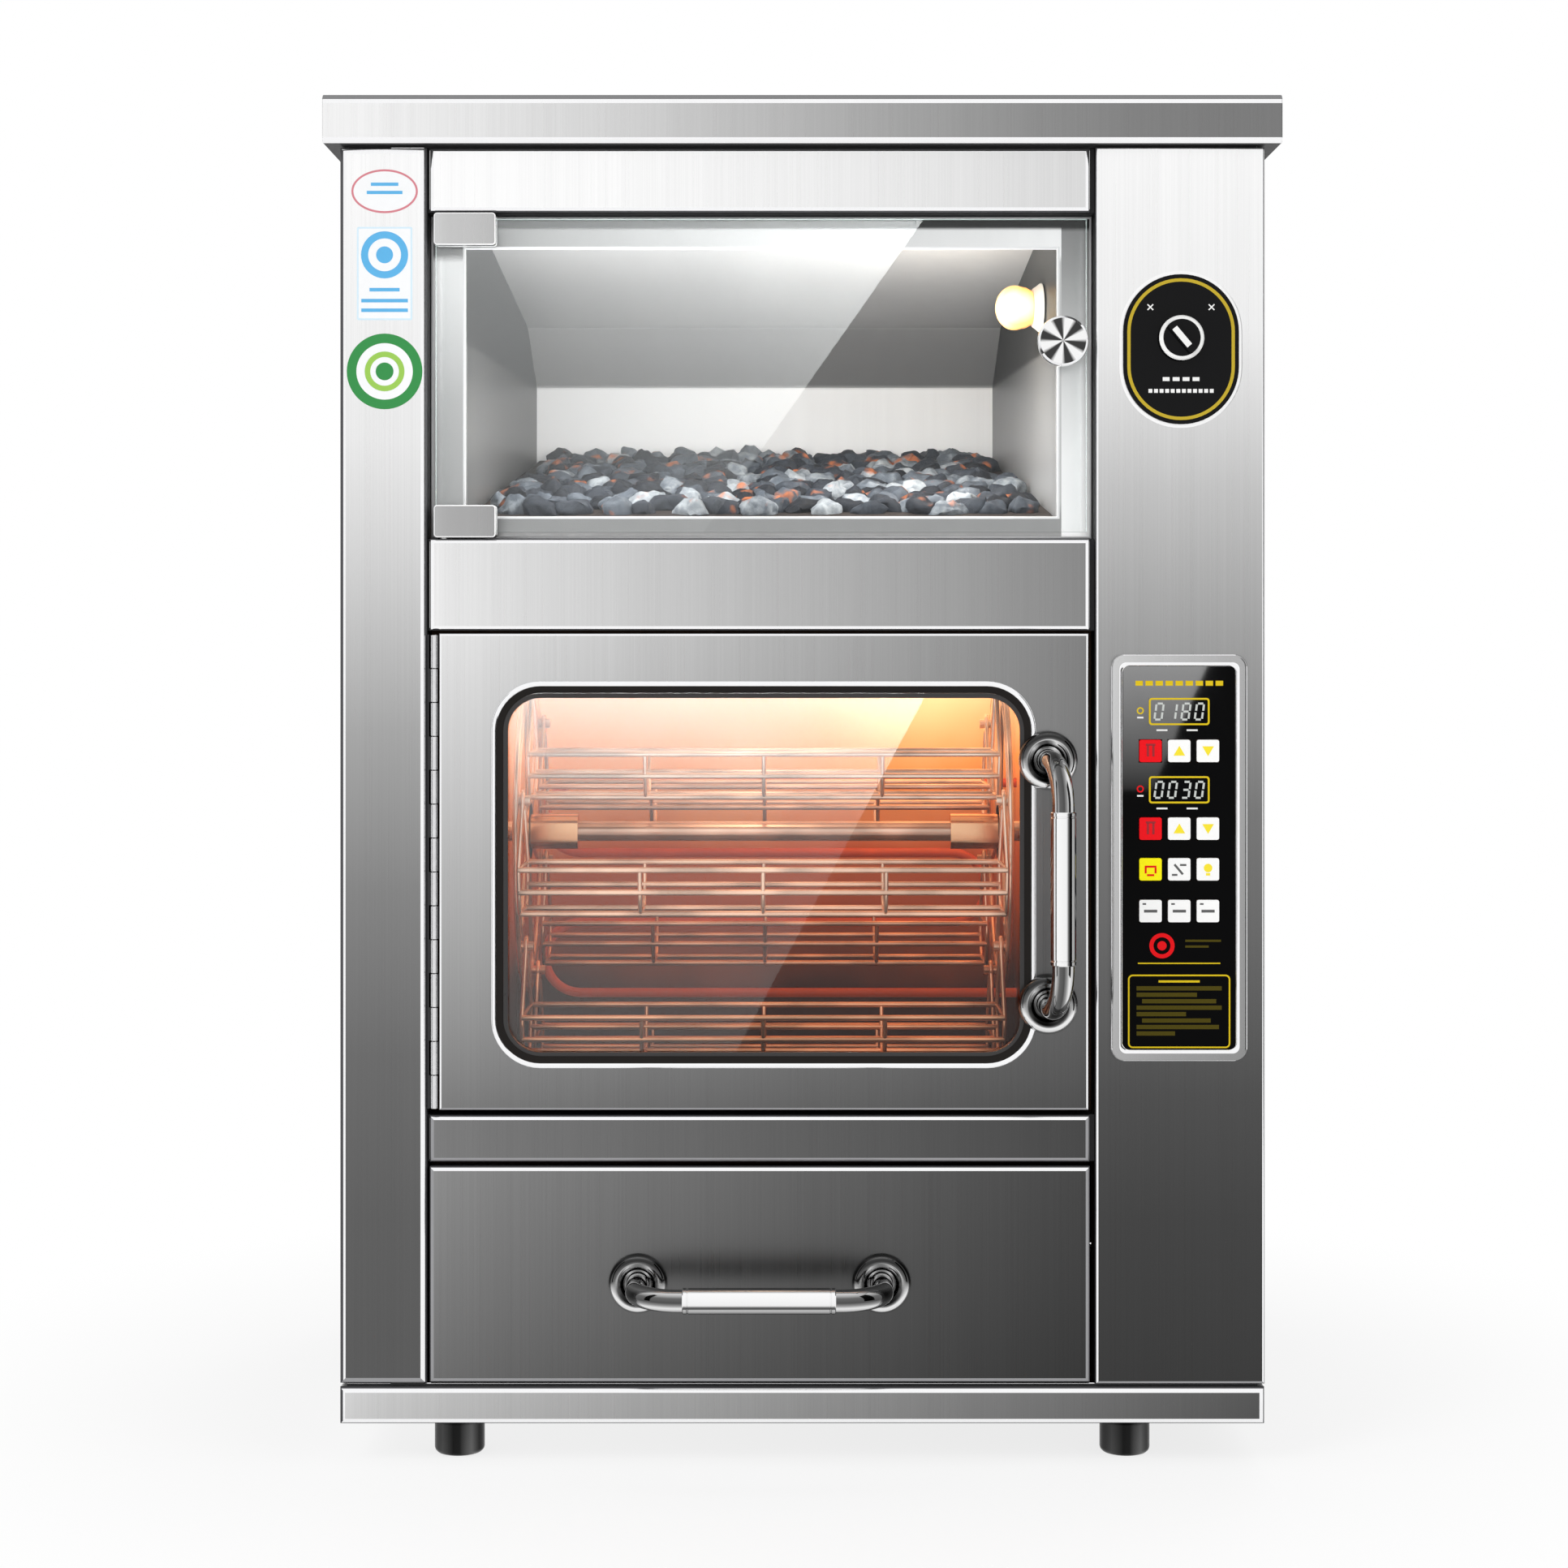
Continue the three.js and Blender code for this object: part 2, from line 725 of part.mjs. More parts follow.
// The gland that the mains lead comes out of, low on the back.
function cableGland() {
  const bore = glandBore / 2;
  const stub = cordHoleDiameter / 2 - glandClearance;
  const flangeTop = seatGap + glandFlange;
  const bodyEnd = flangeTop + glandBody;
  const domeEnd = bodyEnd + glandDome;
  return turned([
    [bore, -glandStub], [stub, -glandStub], [stub, seatGap],
    [glandFlangeDiameter / 2, seatGap], [glandFlangeDiameter / 2, flangeTop],
    [glandBodyDiameter / 2, flangeTop], [glandBodyDiameter / 2, bodyEnd],
    [glandDomeDiameter / 2, domeEnd], [bore, domeEnd], [bore, -glandStub],
  ], roundSides);
}
const glandGroup = subgroup(group, glandPlace[0], cabinetDepth, glandPlace[1]);
glandGroup.rotation.x = -Math.PI / 2;
put(glandGroup, 'cable_gland', cableGland(), 'black');

// A rail is a channel open to the rear, closed at both ends by plates that reach the stiles.
function rail(bottom, top) {
  const frontY = railSetback;
  const channel = polygon([
    [frontY, bottom], [railBackY, bottom], [railBackY, bottom + sheet],
    [frontY + sheet, bottom + sheet], [frontY + sheet, top - sheet],
    [railBackY, top - sheet], [railBackY, top], [frontY, top],
  ]);
  const endY = [frontY + railEndSetback, railBackY];
  return joined(
    extruded(channel, 'x', railLeft, railRight),
    block([bayLeft + seatGap, railLeft + sheet], endY, [bottom, top]),
    block([railRight - sheet, bayRight - seatGap], endY, [bottom, top]),
  );
}
const pivotHole = (from, to) => bar(pivotPin + 4 * pivotClearance, smallSides, 'z',
  [pivotX, pivotY, 0], from - overrun, to + overrun);
put(group, 'header_rail',
  rail(headerBottom, bodyTop).subtract(pivotHole(headerBottom, headerBottom)), 'brushed');
put(group, 'middle_rail',
  rail(middleRailBottom, middleRailTop).subtract(pivotHole(middleRailTop, middleRailTop)),
  'brushed');
put(group, 'lower_rail', rail(lowerRailBottom, lowerRailTop), 'darkBrushed');

// The display case liner: splayed side walls, a sloped hood and a frame round its mouth.
const frameOuterLeft = bayLeft + seatGap;
const frameOuterRight = bayRight - seatGap;
const frameBottom = middleRailTop + seatGap;
const frameTop = headerBottom - seatGap;
const caseLeft = frameOuterLeft + displayFrameSide;
const caseRight = frameOuterRight - displayFrameSide;
const caseFoot = frameBottom + displayFrameFoot;
const caseHead = frameTop - displayFrameTop;
const caseFloor = caseFoot - displayFloorDrop;
const caseCeiling = caseHead + displayCeilingRise;
const caseFrontY = displayFrameY + sheet;
const caseBendZ = caseCeiling - displaySlopeShare * displayHeight;
const caseBackZ = caseBendZ - displaySteepShare * displayHeight;
const bedRearRise = bedRiseShare * displayHeight;

function caseProfile(wall, frontY) {
  return polygon([
    [frontY, caseFloor - wall], [displayBackY + wall, caseFloor - wall],
    [displayBackY + wall, caseBackZ + wall], [displaySlopeY + wall, caseBendZ + wall],
    [displayBendY, caseCeiling + wall], [frontY, caseCeiling + wall],
  ]);
}

function casePlan(inset, frontY) {
  return polygon([
    [caseLeft + inset, frontY], [caseRight - inset, frontY],
    [caseRight - displaySplay - inset, displayBackY + sheet],
    [caseLeft + displaySplay + inset, displayBackY + sheet],
  ]);
}

function displayLiner() {
  const [low, high] = [caseFloor - overrun, caseCeiling + overrun];
  const [left, right] = [caseLeft - overrun, caseRight + overrun];
  const shell = extruded(caseProfile(sheet, displayFrameY), 'x', left, right)
    .intersect(extruded(casePlan(-sheet, displayFrameY), 'z', low, high));
  const hollow = extruded(caseProfile(0, caseFrontY), 'x', left, right)
    .intersect(extruded(casePlan(0, caseFrontY), 'z', low, high));
  const plate = block([frameOuterLeft, frameOuterRight], [displayFrameY, caseFrontY],
    [frameBottom, frameTop]);
  const mouth = block([caseLeft, caseRight], [displayFrameY - overrun, caseFrontY + overrun],
    [caseFoot, caseHead]);
  return shell.add(plate).subtract(hollow).subtract(mouth);
}
put(group, 'display_liner', displayLiner(), 'liner');

// A bed of stones raked up towards the back: a wedge with a course of loose stones on it.
function stoneBed() {
  const bedBottom = caseFloor + seatGap;
  const frontY = caseFrontY + bedGap;
  const backY = displayBackY - bedGap;
  const frontZ = caseFoot + bedFrontRise;
  const rise = bedRearRise / (backY - frontY);
  const wedge = extruded(polygon([
    [frontY, bedBottom], [backY, bedBottom], [backY, frontZ + bedRearRise], [frontY, frontZ],
  ]), 'x', caseLeft, caseRight);
  let heap = wedge.intersect(extruded(casePlan(bedGap, frontY), 'z',
    bedBottom, frontZ + bedRearRise + overrun));
  for (let row = 0; row < stoneRows; row += 1) {
    const y = THREE.MathUtils.lerp(frontY + stoneEdge, backY - stoneEdge,
      row / (stoneRows - 1));
    const narrowing = displaySplay * (y - caseFrontY) / (displayBackY - caseFrontY);
    const reach = (caseRight - caseLeft) / 2 - narrowing - stoneEdge - bedGap;
    const columns = stoneColumns - row % 2;
    for (let column = 0; column < columns; column += 1) {
      const x = (caseLeft + caseRight) / 2 + reach * (2 * column / (columns - 1) - 1);
      const turn = (row * stoneColumns + column) * Math.PI * (3 - Math.sqrt(5));
      const stone = new THREE.IcosahedronGeometry(1, 0);
      stone.rotateX(turn);
      stone.scale(stoneWidth / 2 + stoneHeight / 3, stoneWidth / 2, stoneHeight);
      stone.rotateZ(Math.sin(turn) / 2);
      stone.translate(x, y, frontZ + rise * (y - frontY) - stoneSink);
      heap = heap.add(solid(stone));
    }
  }
  return heap;
}
put(group, 'stone_bed', stoneBed(), 'stone');

// The case lamp stands square to the splayed right wall.
const splayAngle = Math.atan2(displaySplay, displayBackY - caseFrontY);
const lampWallX = caseRight - displaySplay * (lampY - caseFrontY) / (displayBackY - caseFrontY);
const lampGroup = subgroup(group, lampWallX, lampY, caseHead - lampDrop);
lampGroup.rotation.set(0, -Math.PI / 2, 0);
lampGroup.rotation.order = 'ZYX';
lampGroup.rotation.z = splayAngle;
put(lampGroup, 'lamp_holder', turned([
  [0, seatGap], [lampDiameter / 2, seatGap], [lampNeckDiameter / 2, lampHolderDepth],
  [0, lampHolderDepth],
], smallSides * 2), 'ceramic');

function lampBulb() {
  const base = lampHolderDepth + seatGap;
  const [radius, tip] = [bulbDiameter / 2, bulbTipDiameter / 2];
  const profile = [[0, base], [lampNeckDiameter / 2 - sheet, base]];
  for (let step = 0; step <= bendSteps; step += 1) {
    const turn = step / bendSteps * Math.PI / 2;
    profile.push([
      tip + (radius - tip) * Math.cos(turn),
      base + bulbLength / 2 + bulbLength / 2 * Math.sin(turn),
    ]);
  }
  profile.push([0, base + bulbLength]);
  return turned(profile, roundSides);
}
put(lampGroup, 'lamp_bulb', lampBulb(), 'lamp');

// The glass pane swings on pins in its two clamps, with a knob bolted through it.
const paneY = [pivotY - paneThickness / 2, pivotY + paneThickness / 2];

function glassPane() {
  const hole = bar(paneKnobBolt + 2 * boltClearance, smallSides, 'y',
    [paneKnobX, 0, paneKnobZ], paneY[0] - overrun, paneY[1] + overrun);
  return block([pivotX - paneLeftReach, paneRight], paneY, [paneBottom, paneTop]).subtract(hole);
}
put(group, 'glass_pane', glassPane(), 'glass');

function paneClamp(bottom, top, paneEdge, pinEnd) {
  const left = pivotX - paneLeftReach;
  const centre = [left + clampWidth / 2 - seatGap, (bottom + top) / 2];
  const slotY = [paneY[0] - seatGap, paneY[1] + seatGap];
  const edgeZ = paneEdge > centre[1]
    ? [bottom - overrun, paneEdge + seatGap]
    : [paneEdge - seatGap, top + overrun];
  const slot = block([left - seatGap, left + clampWidth + overrun], slotY, edgeZ);
  const pinZ = pinEnd > centre[1] ? [paneEdge + seatGap, pinEnd] : [pinEnd, paneEdge - seatGap];
  const cheeks = extruded(roundedRect([centre[0], centre[1]], clampWidth + 4 * seatGap,
    top - bottom, clampRound), 'y', pivotY - clampDepth / 2, pivotY + clampDepth / 2);
  return cheeks.subtract(slot)
    .add(bar(pivotPin, smallSides, 'z', [pivotX, pivotY, 0], ...pinZ));
}
const clampLap = clampHeight - clampOverlap;
put(group, 'upper_clamp', paneClamp(paneTop - clampOverlap, paneTop + clampLap, paneTop,
  headerBottom + pivotPinDepth), 'bright');
put(group, 'lower_clamp', paneClamp(paneBottom - clampLap, paneBottom + clampOverlap,
  paneBottom, middleRailTop - pivotPinDepth), 'bright');

function paneKnob() {
  const radius = paneKnobDiameter / 2;
  const washerTop = paneThickness + 2 * seatGap + paneKnobWasherDepth;
  const neckFoot = -paneKnobNeckLength;
  const knobFoot = neckFoot - paneKnobDepth;
  const washer = paneThickness + 2 * seatGap;
  return turned([
    [0, knobFoot], [radius - paneKnobRound, knobFoot], [radius, knobFoot + paneKnobRound],
    [radius, neckFoot - paneKnobRound], [paneKnobNeck / 2, neckFoot], [paneKnobNeck / 2, 0],
    [paneKnobBolt / 2, 0], [paneKnobBolt / 2, washer], [paneKnobWasher / 2, washer],
    [paneKnobWasher / 2, washerTop], [0, washerTop],
  ], roundSides);
}
const paneKnobGroup = subgroup(group, paneKnobX, paneY[0] - seatGap, paneKnobZ);
paneKnobGroup.rotation.x = -Math.PI / 2;
put(paneKnobGroup, 'pane_knob', paneKnob(), 'bright');

// The oven liner is a box of folded sheet with a flange round its mouth.
const mouthCentre = [linerMiddleX, (doorTop + doorBottom) / 2];
const linerBack = linerFrontY + sheet;

function ovenLiner() {
  const shell = block([linerLeft - sheet, linerRight + sheet], [linerFrontY, linerBackY + sheet],
    [linerFloorZ - sheet, linerCeilingZ + sheet]);
  const flange = block([linerLeft - linerFlange, linerRight + linerFlange],
    [linerFrontY, linerBack], [linerFloorZ - sheet, linerCeilingZ + sheet]);
  const cavity = block([linerLeft, linerRight], [linerBack, linerBackY],
    [linerFloorZ, linerCeilingZ]);
  const mouth = extruded(roundedRect(mouthCentre, mouthWidth, mouthHeight, mouthRound), 'y',
    linerFrontY - overrun, linerBack + overrun);
  const axleHole = bar(axleDiameter + 2 * axleClearance, roundSides, 'x',
    [0, carouselY, carouselZ], linerLeft - 2 * overrun, linerRight + 2 * overrun);
  let liner = joined(shell, flange).subtract(cavity).subtract(mouth).subtract(axleHole);
  for (const pass of [0, heaterPasses - 1]) {
    liner = liner.subtract(bar(heaterTube + 2 * heaterClearance, smallSides, 'x',
      [0, heaterY, heaterFootZ + pass * heaterPitch],
      linerRight - overrun, linerRight + sheet + overrun));
  }
  return liner;
}
put(group, 'oven_liner', ovenLiner(), 'liner');

// One bent heater tube runs to and fro behind the carousel, and both its ends leave on the right.
function heatingElement() {
  const left = linerLeft + heaterMargin;
  const right = linerRight - heaterMargin;
  const bend = heaterPitch / 2;
  const end = linerRight + sheet + heaterTail;
  const knots = [[end, heaterY, heaterFootZ]];
  for (let pass = 0; pass < heaterPasses - 1; pass += 1) {
    const side = pass % 2 === 0 ? -1 : 1;
    const bendX = side < 0 ? left + bend : right - bend;
    for (let step = 0; step <= 2 * bendSteps; step += 1) {
      const turn = step / (2 * bendSteps) * Math.PI;
      knots.push([
        bendX + side * bend * Math.sin(turn), heaterY,
        heaterFootZ + pass * heaterPitch + bend * (1 - Math.cos(turn)),
      ]);
    }
  }
  knots.push([end, heaterY, heaterFootZ + (heaterPasses - 1) * heaterPitch]);
  return tube(knots, heaterTube, tinySides);
}
put(group, 'heating_element', heatingElement(), 'heater');

// The gearmotor is bolted to the right wall of the liner and takes the end of the axle.
function gearmotor() {
  const plateX = linerRight + sheet + seatGap;
  const boxX = plateX + motorPlateThickness;
  const plate = blockAt([plateX + motorPlateThickness / 2, carouselY, carouselZ],
    [motorPlateThickness, motorPlate, motorPlate]);
  const box = blockAt([boxX + gearboxDepth / 2, carouselY, carouselZ],
    [gearboxDepth, gearboxSize, gearboxSize]);
  const can = bar(motorCanDiameter, smallSides * 2, 'y',
    [boxX + gearboxDepth / 2, 0, carouselZ], carouselY, carouselY + motorCanLength);
  const socket = bar(axleDiameter + 2 * axleClearance, roundSides, 'x',
    [0, carouselY, carouselZ], plateX - overrun, boxX + socketDepth);
  return joined(plate, box, can).subtract(socket);
}
put(group, 'gearmotor', gearmotor(), 'motor');

// The carousel turns about its axle. Everything in its group is placed from the axle's middle.
const carousel = subgroup(group, linerMiddleX, carouselY, carouselZ);
const axleReach = linerRight - linerMiddleX + sheet;
const axleEnd = axleReach + seatGap + motorPlateThickness + socketDepth - axleEndPlay;

function wheelAxle() {
  return bar(axleDiameter, roundSides, 'x', [0, 0, 0], -axleReach - axleEndPlay, axleEnd);
}
put(carousel, 'wheel_axle', wheelAxle(), 'bright');

function pinPlace(index) {
  const turn = wheelPhase + 2 * Math.PI * index / basketCount;
  return [-Math.cos(turn) * pinCircle / 2, Math.sin(turn) * pinCircle / 2];
}

// An end wheel: rim, spokes to the pins, a square hub block and six pins pointing inwards.
function endWheel(side) {
  const face = [side * wheelX, side * (wheelX + wheelThickness)].sort((a, b) => a - b);
  const rimInner = wheelDiameter - 2 * wheelRimWidth;
  let wheel = bar(wheelDiameter, largeSides, 'x', [0, 0, 0], ...face)
    .subtract(bar(rimInner, largeSides, 'x', [0, 0, 0], face[0] - overrun, face[1] + overrun))
    .add(bar(wheelHubDiameter, roundSides, 'x', [0, 0, 0], ...face));
  const blockX = [side * (wheelX - hubBlockLength), side * (wheelX + wheelThickness / 2)]
    .sort((a, b) => a - b);
  const pinX = [side * (wheelX - pinLength), side * (wheelX + wheelThickness / 2)]
    .sort((a, b) => a - b);
  for (let i = 0; i < basketCount; i += 1) {
    const [y, z] = pinPlace(i);
    const reach = (rimInner + wheelRimWidth) / 2;
    const spoke = new THREE.BoxGeometry(wheelThickness, reach, spokeWidth);
    spoke.translate(0, reach / 2, 0);
    spoke.rotateX(Math.atan2(z, y));
    spoke.translate(side * (wheelX + wheelThickness / 2), 0, 0);
    wheel = wheel.add(solid(spoke)).add(bar(pinDiameter, smallSides, 'x', [0, y, z], ...pinX));
  }
  return wheel.add(block(blockX, [-hubBlock / 2, hubBlock / 2], [-hubBlock / 2, hubBlock / 2]))
    .subtract(bar(axleDiameter + 2 * seatGap, roundSides, 'x', [0, 0, 0],
      face[0] - hubBlockLength - overrun, face[1] + hubBlockLength + overrun));
}
put(carousel, 'left_wheel', endWheel(-1), 'bright');
put(carousel, 'right_wheel', endWheel(1), 'bright');

// A basket hangs from a pin at each end: two hanger plates, three hoops and six long rods.
function hanger(side) {
  const eye = hangerEyeDiameter / 2;
  const band = rodDiameter / 2 + 1 / 2;
  const outline = new THREE.Shape();
  outline.absarc(0, 0, eye, 0, Math.PI);
  outline.lineTo(-troughTopHalf - rodDiameter, -troughTop);
  outline.lineTo(-troughBottomHalf - rodDiameter, -troughBottom - rodDiameter / 2);
  outline.lineTo(troughBottomHalf + rodDiameter, -troughBottom - rodDiameter / 2);
  outline.lineTo(troughTopHalf + rodDiameter, -troughTop);
  outline.closePath();
  const inside = polygon([
    [0, -eye - band], [troughTopHalf - hangerBand, -troughTop],
    [troughBottomHalf - hangerBand / 2, hangerBand / 2 + rodDiameter / 2 - troughBottom],
    [hangerBand / 2 - troughBottomHalf, hangerBand / 2 + rodDiameter / 2 - troughBottom],
    [hangerBand - troughTopHalf, -troughTop],
  ]);
  const x = [side * basketHalfLength, side * (basketHalfLength - hangerThickness)]
    .sort((a, b) => a - b);
  const cut = [x[0] - overrun, x[1] + overrun];
  return extruded(outline, 'x', ...x)
    .subtract(extruded(inside, 'x', ...cut))
    .subtract(bar(pinDiameter + 2 * pinClearance, smallSides, 'x', [0, 0, 0], ...cut));
}

function troughHoop(x) {
  const half = hoopBand / 2;
  const edge = (grow) => [
    [-troughTopHalf - grow, -troughTop], [-troughMiddleHalf - grow, -troughMiddle],
    [-troughBottomHalf - grow, -troughBottom - grow],
    [troughBottomHalf + grow, -troughBottom - grow],
    [troughMiddleHalf + grow, -troughMiddle], [troughTopHalf + grow, -troughTop],
  ];
  const hoop = polygon([...edge(half), ...edge(-half).reverse()]);
  return extruded(hoop, 'x', x - hoopWidth / 2, x + hoopWidth / 2);
}

function basket() {
  const ends = [-basketHalfLength + hangerThickness / 2, basketHalfLength - hangerThickness / 2];
  let wires = joined(hanger(-1), hanger(1));
  for (const share of [-1 / 2, 0, 1 / 2]) {
    wires = wires.add(troughHoop(share * basketHalfLength));
  }
  const rods = [
    [troughTopHalf, troughTop], [troughMiddleHalf, troughMiddle],
    [troughBottomHalf, troughBottom],
  ];
  for (const [half, drop] of rods) {
    for (const side of [-1, 1]) {
      wires = wires.add(bar(rodDiameter, rodSides, 'x', [0, side * half, -drop], ...ends));
    }
  }
  return wires;
}
for (let i = 0; i < basketCount; i += 1) {
  put(subgroup(carousel, 0, ...pinPlace(i)), `basket_${i + 1}`, basket(), 'bright');
}

// The oven door: outer skin, inner pan, window glass held between them, trim and seal.
const windowCentre = [windowX, windowZ];
const knuckleLength = (doorTop - doorBottom - 2 * hingeEndGap) / knuckleCount;

function knuckleSpan(index) {
  const foot = doorBottom + hingeEndGap + index * knuckleLength;
  return [foot + knuckleGap / 2, foot + knuckleLength - knuckleGap / 2];
}

const webY = [hingeSetY + hingeWebRise, hingeSetY + hingeWebRise + hingeLeaf];

function hingeHalf(first, webX) {
  const parts = [];
  for (let index = first; index < knuckleCount; index += 2) {
    const span = knuckleSpan(index);
    parts.push(bar(knuckleDiameter, tinySides, 'z', [hingeX, hingeSetY, 0], ...span));
    parts.push(block(webX, webY, span));
  }
  return joined(...parts);
}

function doorHinge() {
  const leafX = bayLeft + seatGap;
  const leaf = block([leafX, leafX + hingeLeaf], [webY[0], webY[0] + hingeLeafDepth],
    [doorBottom + hingeEndGap, doorTop - hingeEndGap]);
  const pin = bar(hingePin, tinySides, 'z', [hingeX, hingeSetY, 0],
    doorBottom + hingeEndGap, doorTop - hingeEndGap);
  return joined(leaf, pin, hingeHalf(0, [leafX, hingeX]));
}
put(group, 'door_hinge', doorHinge(), 'bright');

const door = subgroup(group, 0, 0, 0);

function doorPanel() {
  const width = [doorLeft, doorRight];
  const height = [doorBottom, doorTop];
  const pan = block(width, [0, doorDepth], height)
    .subtract(block([doorLeft + sheet, doorRight - sheet], [sheet, doorDepth + overrun],
      [doorBottom + sheet, doorTop - sheet]));
  const hole = extruded(roundedRect(windowCentre, windowWidth + 2 * trimLip,
    windowHeight + 2 * trimLip, windowRound + trimLip), 'y', -overrun, sheet + overrun);
  const bore = bar(hingeBore, tinySides, 'z', [hingeX, hingeSetY, 0], ...height);
  return joined(pan, hingeHalf(1, [hingeX, doorLeft + sheet])).subtract(hole).subtract(bore);
}
put(door, 'door_panel', doorPanel(), 'brushed');

function doorInnerPan() {
  const [left, right] = [doorLeft + sheet + innerPanGap, doorRight - sheet - innerPanGap];
  const [foot, head] = [doorBottom + sheet + innerPanGap, doorTop - sheet - innerPanGap];
  const back = doorDepth + innerPanProud;
  const glassBack = sheet + 2 * seatGap + glassThickness;
  const pan = block([left, right], [innerPanSetback, back], [foot, head])
    .subtract(block([left + sheet, right - sheet], [innerPanSetback - overrun, back - sheet],
      [foot + sheet, head - sheet]));
  const collar = extruded(roundedRect(windowCentre, windowWidth + 2 * sheet,
    windowHeight + 2 * sheet, windowRound + sheet), 'y', glassBack, back);
  const hole = extruded(roundedRect(windowCentre, windowWidth, windowHeight, windowRound), 'y',
    glassBack - overrun, back + overrun);
  return joined(pan, collar).subtract(hole);
}
put(door, 'door_inner_pan', doorInnerPan(), 'liner');

function windowTrim() {
  const ring = frame(windowCentre, windowWidth + 2 * trimWidth, windowHeight + 2 * trimWidth,
    windowRound + trimWidth, trimWidth, windowRound, -trimProud, -seatGap);
  const lip = trimLip - seatGap;
  return ring.add(frame(windowCentre, windowWidth + 2 * lip, windowHeight + 2 * lip,
    windowRound + lip, lip, windowRound, -seatGap * 2, sheet));
}
put(door, 'window_trim', windowTrim(), 'bright');

put(door, 'window_glass', extruded(roundedRect(windowCentre, windowWidth + 2 * glassLap,
  windowHeight + 2 * glassLap, windowRound + glassLap), 'y', sheet + seatGap,
sheet + seatGap + glassThickness), 'glass');

put(door, 'door_seal', frame(mouthCentre, mouthWidth + 2 * (sealInset + sealWidth),
  mouthHeight + 2 * (sealInset + sealWidth), mouthRound + sealInset + sealWidth, sealWidth,
  mouthRound + sealInset, doorDepth + innerPanProud + seatGap, linerFrontY - seatGap), 'seal');

// A bent tube between two rosettes, with a thicker sleeve to hold. It stands along z and
// reaches towards -y. Feet under the rosettes lift them clear of what lies beside them.
function pullHandle(lean, standoff) {
  const half = handleSpan / 2;
  const upper = [[0, -standoff - rosetteHeight / 2, half]];
  for (let step = 0; step <= bendSteps; step += 1) {
    const turn = step / bendSteps * Math.PI / 2;
    upper.push([
      lean * Math.sin(turn), handleBend * (1 - Math.sin(turn)) - handleReach,
      half - handleBend * (1 - Math.cos(turn)),
    ]);
  }
  const lower = upper.map(([x, y, z]) => [x, y, -z]).reverse();
  const sleeve = bar(sleeveDiameter, smallSides, 'z', [lean, -handleReach, 0],
    -sleeveLength / 2, sleeveLength / 2);
  const radius = rosetteDiameter / 2;
  const foot = rosetteFootDiameter / 2;
  const top = standoff + rosetteHeight;
  const rosette = (z) => {
    const profile = [
      [0, seatGap], [foot, seatGap], [foot, standoff + seatGap], [radius, standoff + seatGap],
      [radius, top - rosetteRound], [radius - rosetteRound, top], [0, top],
    ].map(([r, h]) => new THREE.Vector2(r, h));
    const disc = new THREE.LatheGeometry(profile, roundSides);
    disc.rotateX(Math.PI);
    disc.translate(0, 0, z);
    return solid(disc);
  };
  return joined(tube([...upper, ...lower], handleTube, smallSides), sleeve,
    rosette(half), rosette(-half));
}
const doorHandleGroup = subgroup(door, doorRight - doorHandleInset, 0,
  (doorTop + doorBottom) / 2 - doorHandleDrop);
put(doorHandleGroup, 'door_handle', pullHandle(doorHandleLean, trimProud), 'bright');

// The drawer: a folded front on an open box that runs on the plinth's guides.
const drawer = subgroup(group, 0, 0, 0);
const drawerTop = lowerRailBottom - drawerTopGap;
const drawerFoot = bodyBottom + drawerFootGap;
const drawerBoxLeft = bayLeft + drawerBoxInsetLeft;
const drawerBoxRight = bayRight - drawerBoxInsetRight;

function drawerFront() {
  return block([railLeft, railRight], [0, drawerFrontDepth], [drawerFoot, drawerTop])
    .subtract(block([railLeft + sheet, railRight - sheet],
      [sheet, drawerFrontDepth - sheet], [drawerFoot + sheet, drawerTop - sheet]))
    .subtract(block([railLeft + drawerFrontFlange, railRight - drawerFrontFlange],
      [sheet * 2, drawerFrontDepth + overrun],
      [drawerFoot + drawerFrontFlange, drawerTop - drawerFrontFlange]));
}

function drawerBox() {
  const boxTop = drawerTop - drawerBoxHead;
  const frontY = drawerFrontDepth + seatGap;
  return block([drawerBoxLeft, drawerBoxRight], [frontY, drawerBoxBackY],
    [drawerBoxBottom, boxTop])
    .subtract(block([drawerBoxLeft + sheet, drawerBoxRight - sheet],
      [frontY + sheet, drawerBoxBackY - sheet], [drawerBoxBottom + sheet, boxTop + overrun]));
}
put(drawer, 'drawer_front', drawerFront(), 'darkBrushed');
put(drawer, 'drawer_box', drawerBox(), 'darkBrushed');
const drawerHandleGroup = subgroup(drawer, (railLeft + railRight) / 2, 0,
  (drawerTop + drawerFoot) / 2 - drawerHandleDrop);
drawerHandleGroup.rotation.y = Math.PI / 2;
put(drawerHandleGroup, 'drawer_handle', pullHandle(0, 0), 'bright');

// The light switch: a stadium plate and a round knob with a grip bar across it.
function switchPlate() {
  const plate = extruded(roundedRect([switchX, switchZ], switchPlateWidth, switchPlateHeight,
    switchPlateWidth / 2 - seatGap), 'y', -seatGap - switchPlateDepth, -seatGap);
  return plate.subtract(bar(switchHoleDiameter, smallSides, 'y',
    [switchX, 0, switchZ + switchKnobRise], -switchPlateDepth - overrun, overrun));
}
put(group, 'switch_plate', switchPlate(), 'black');

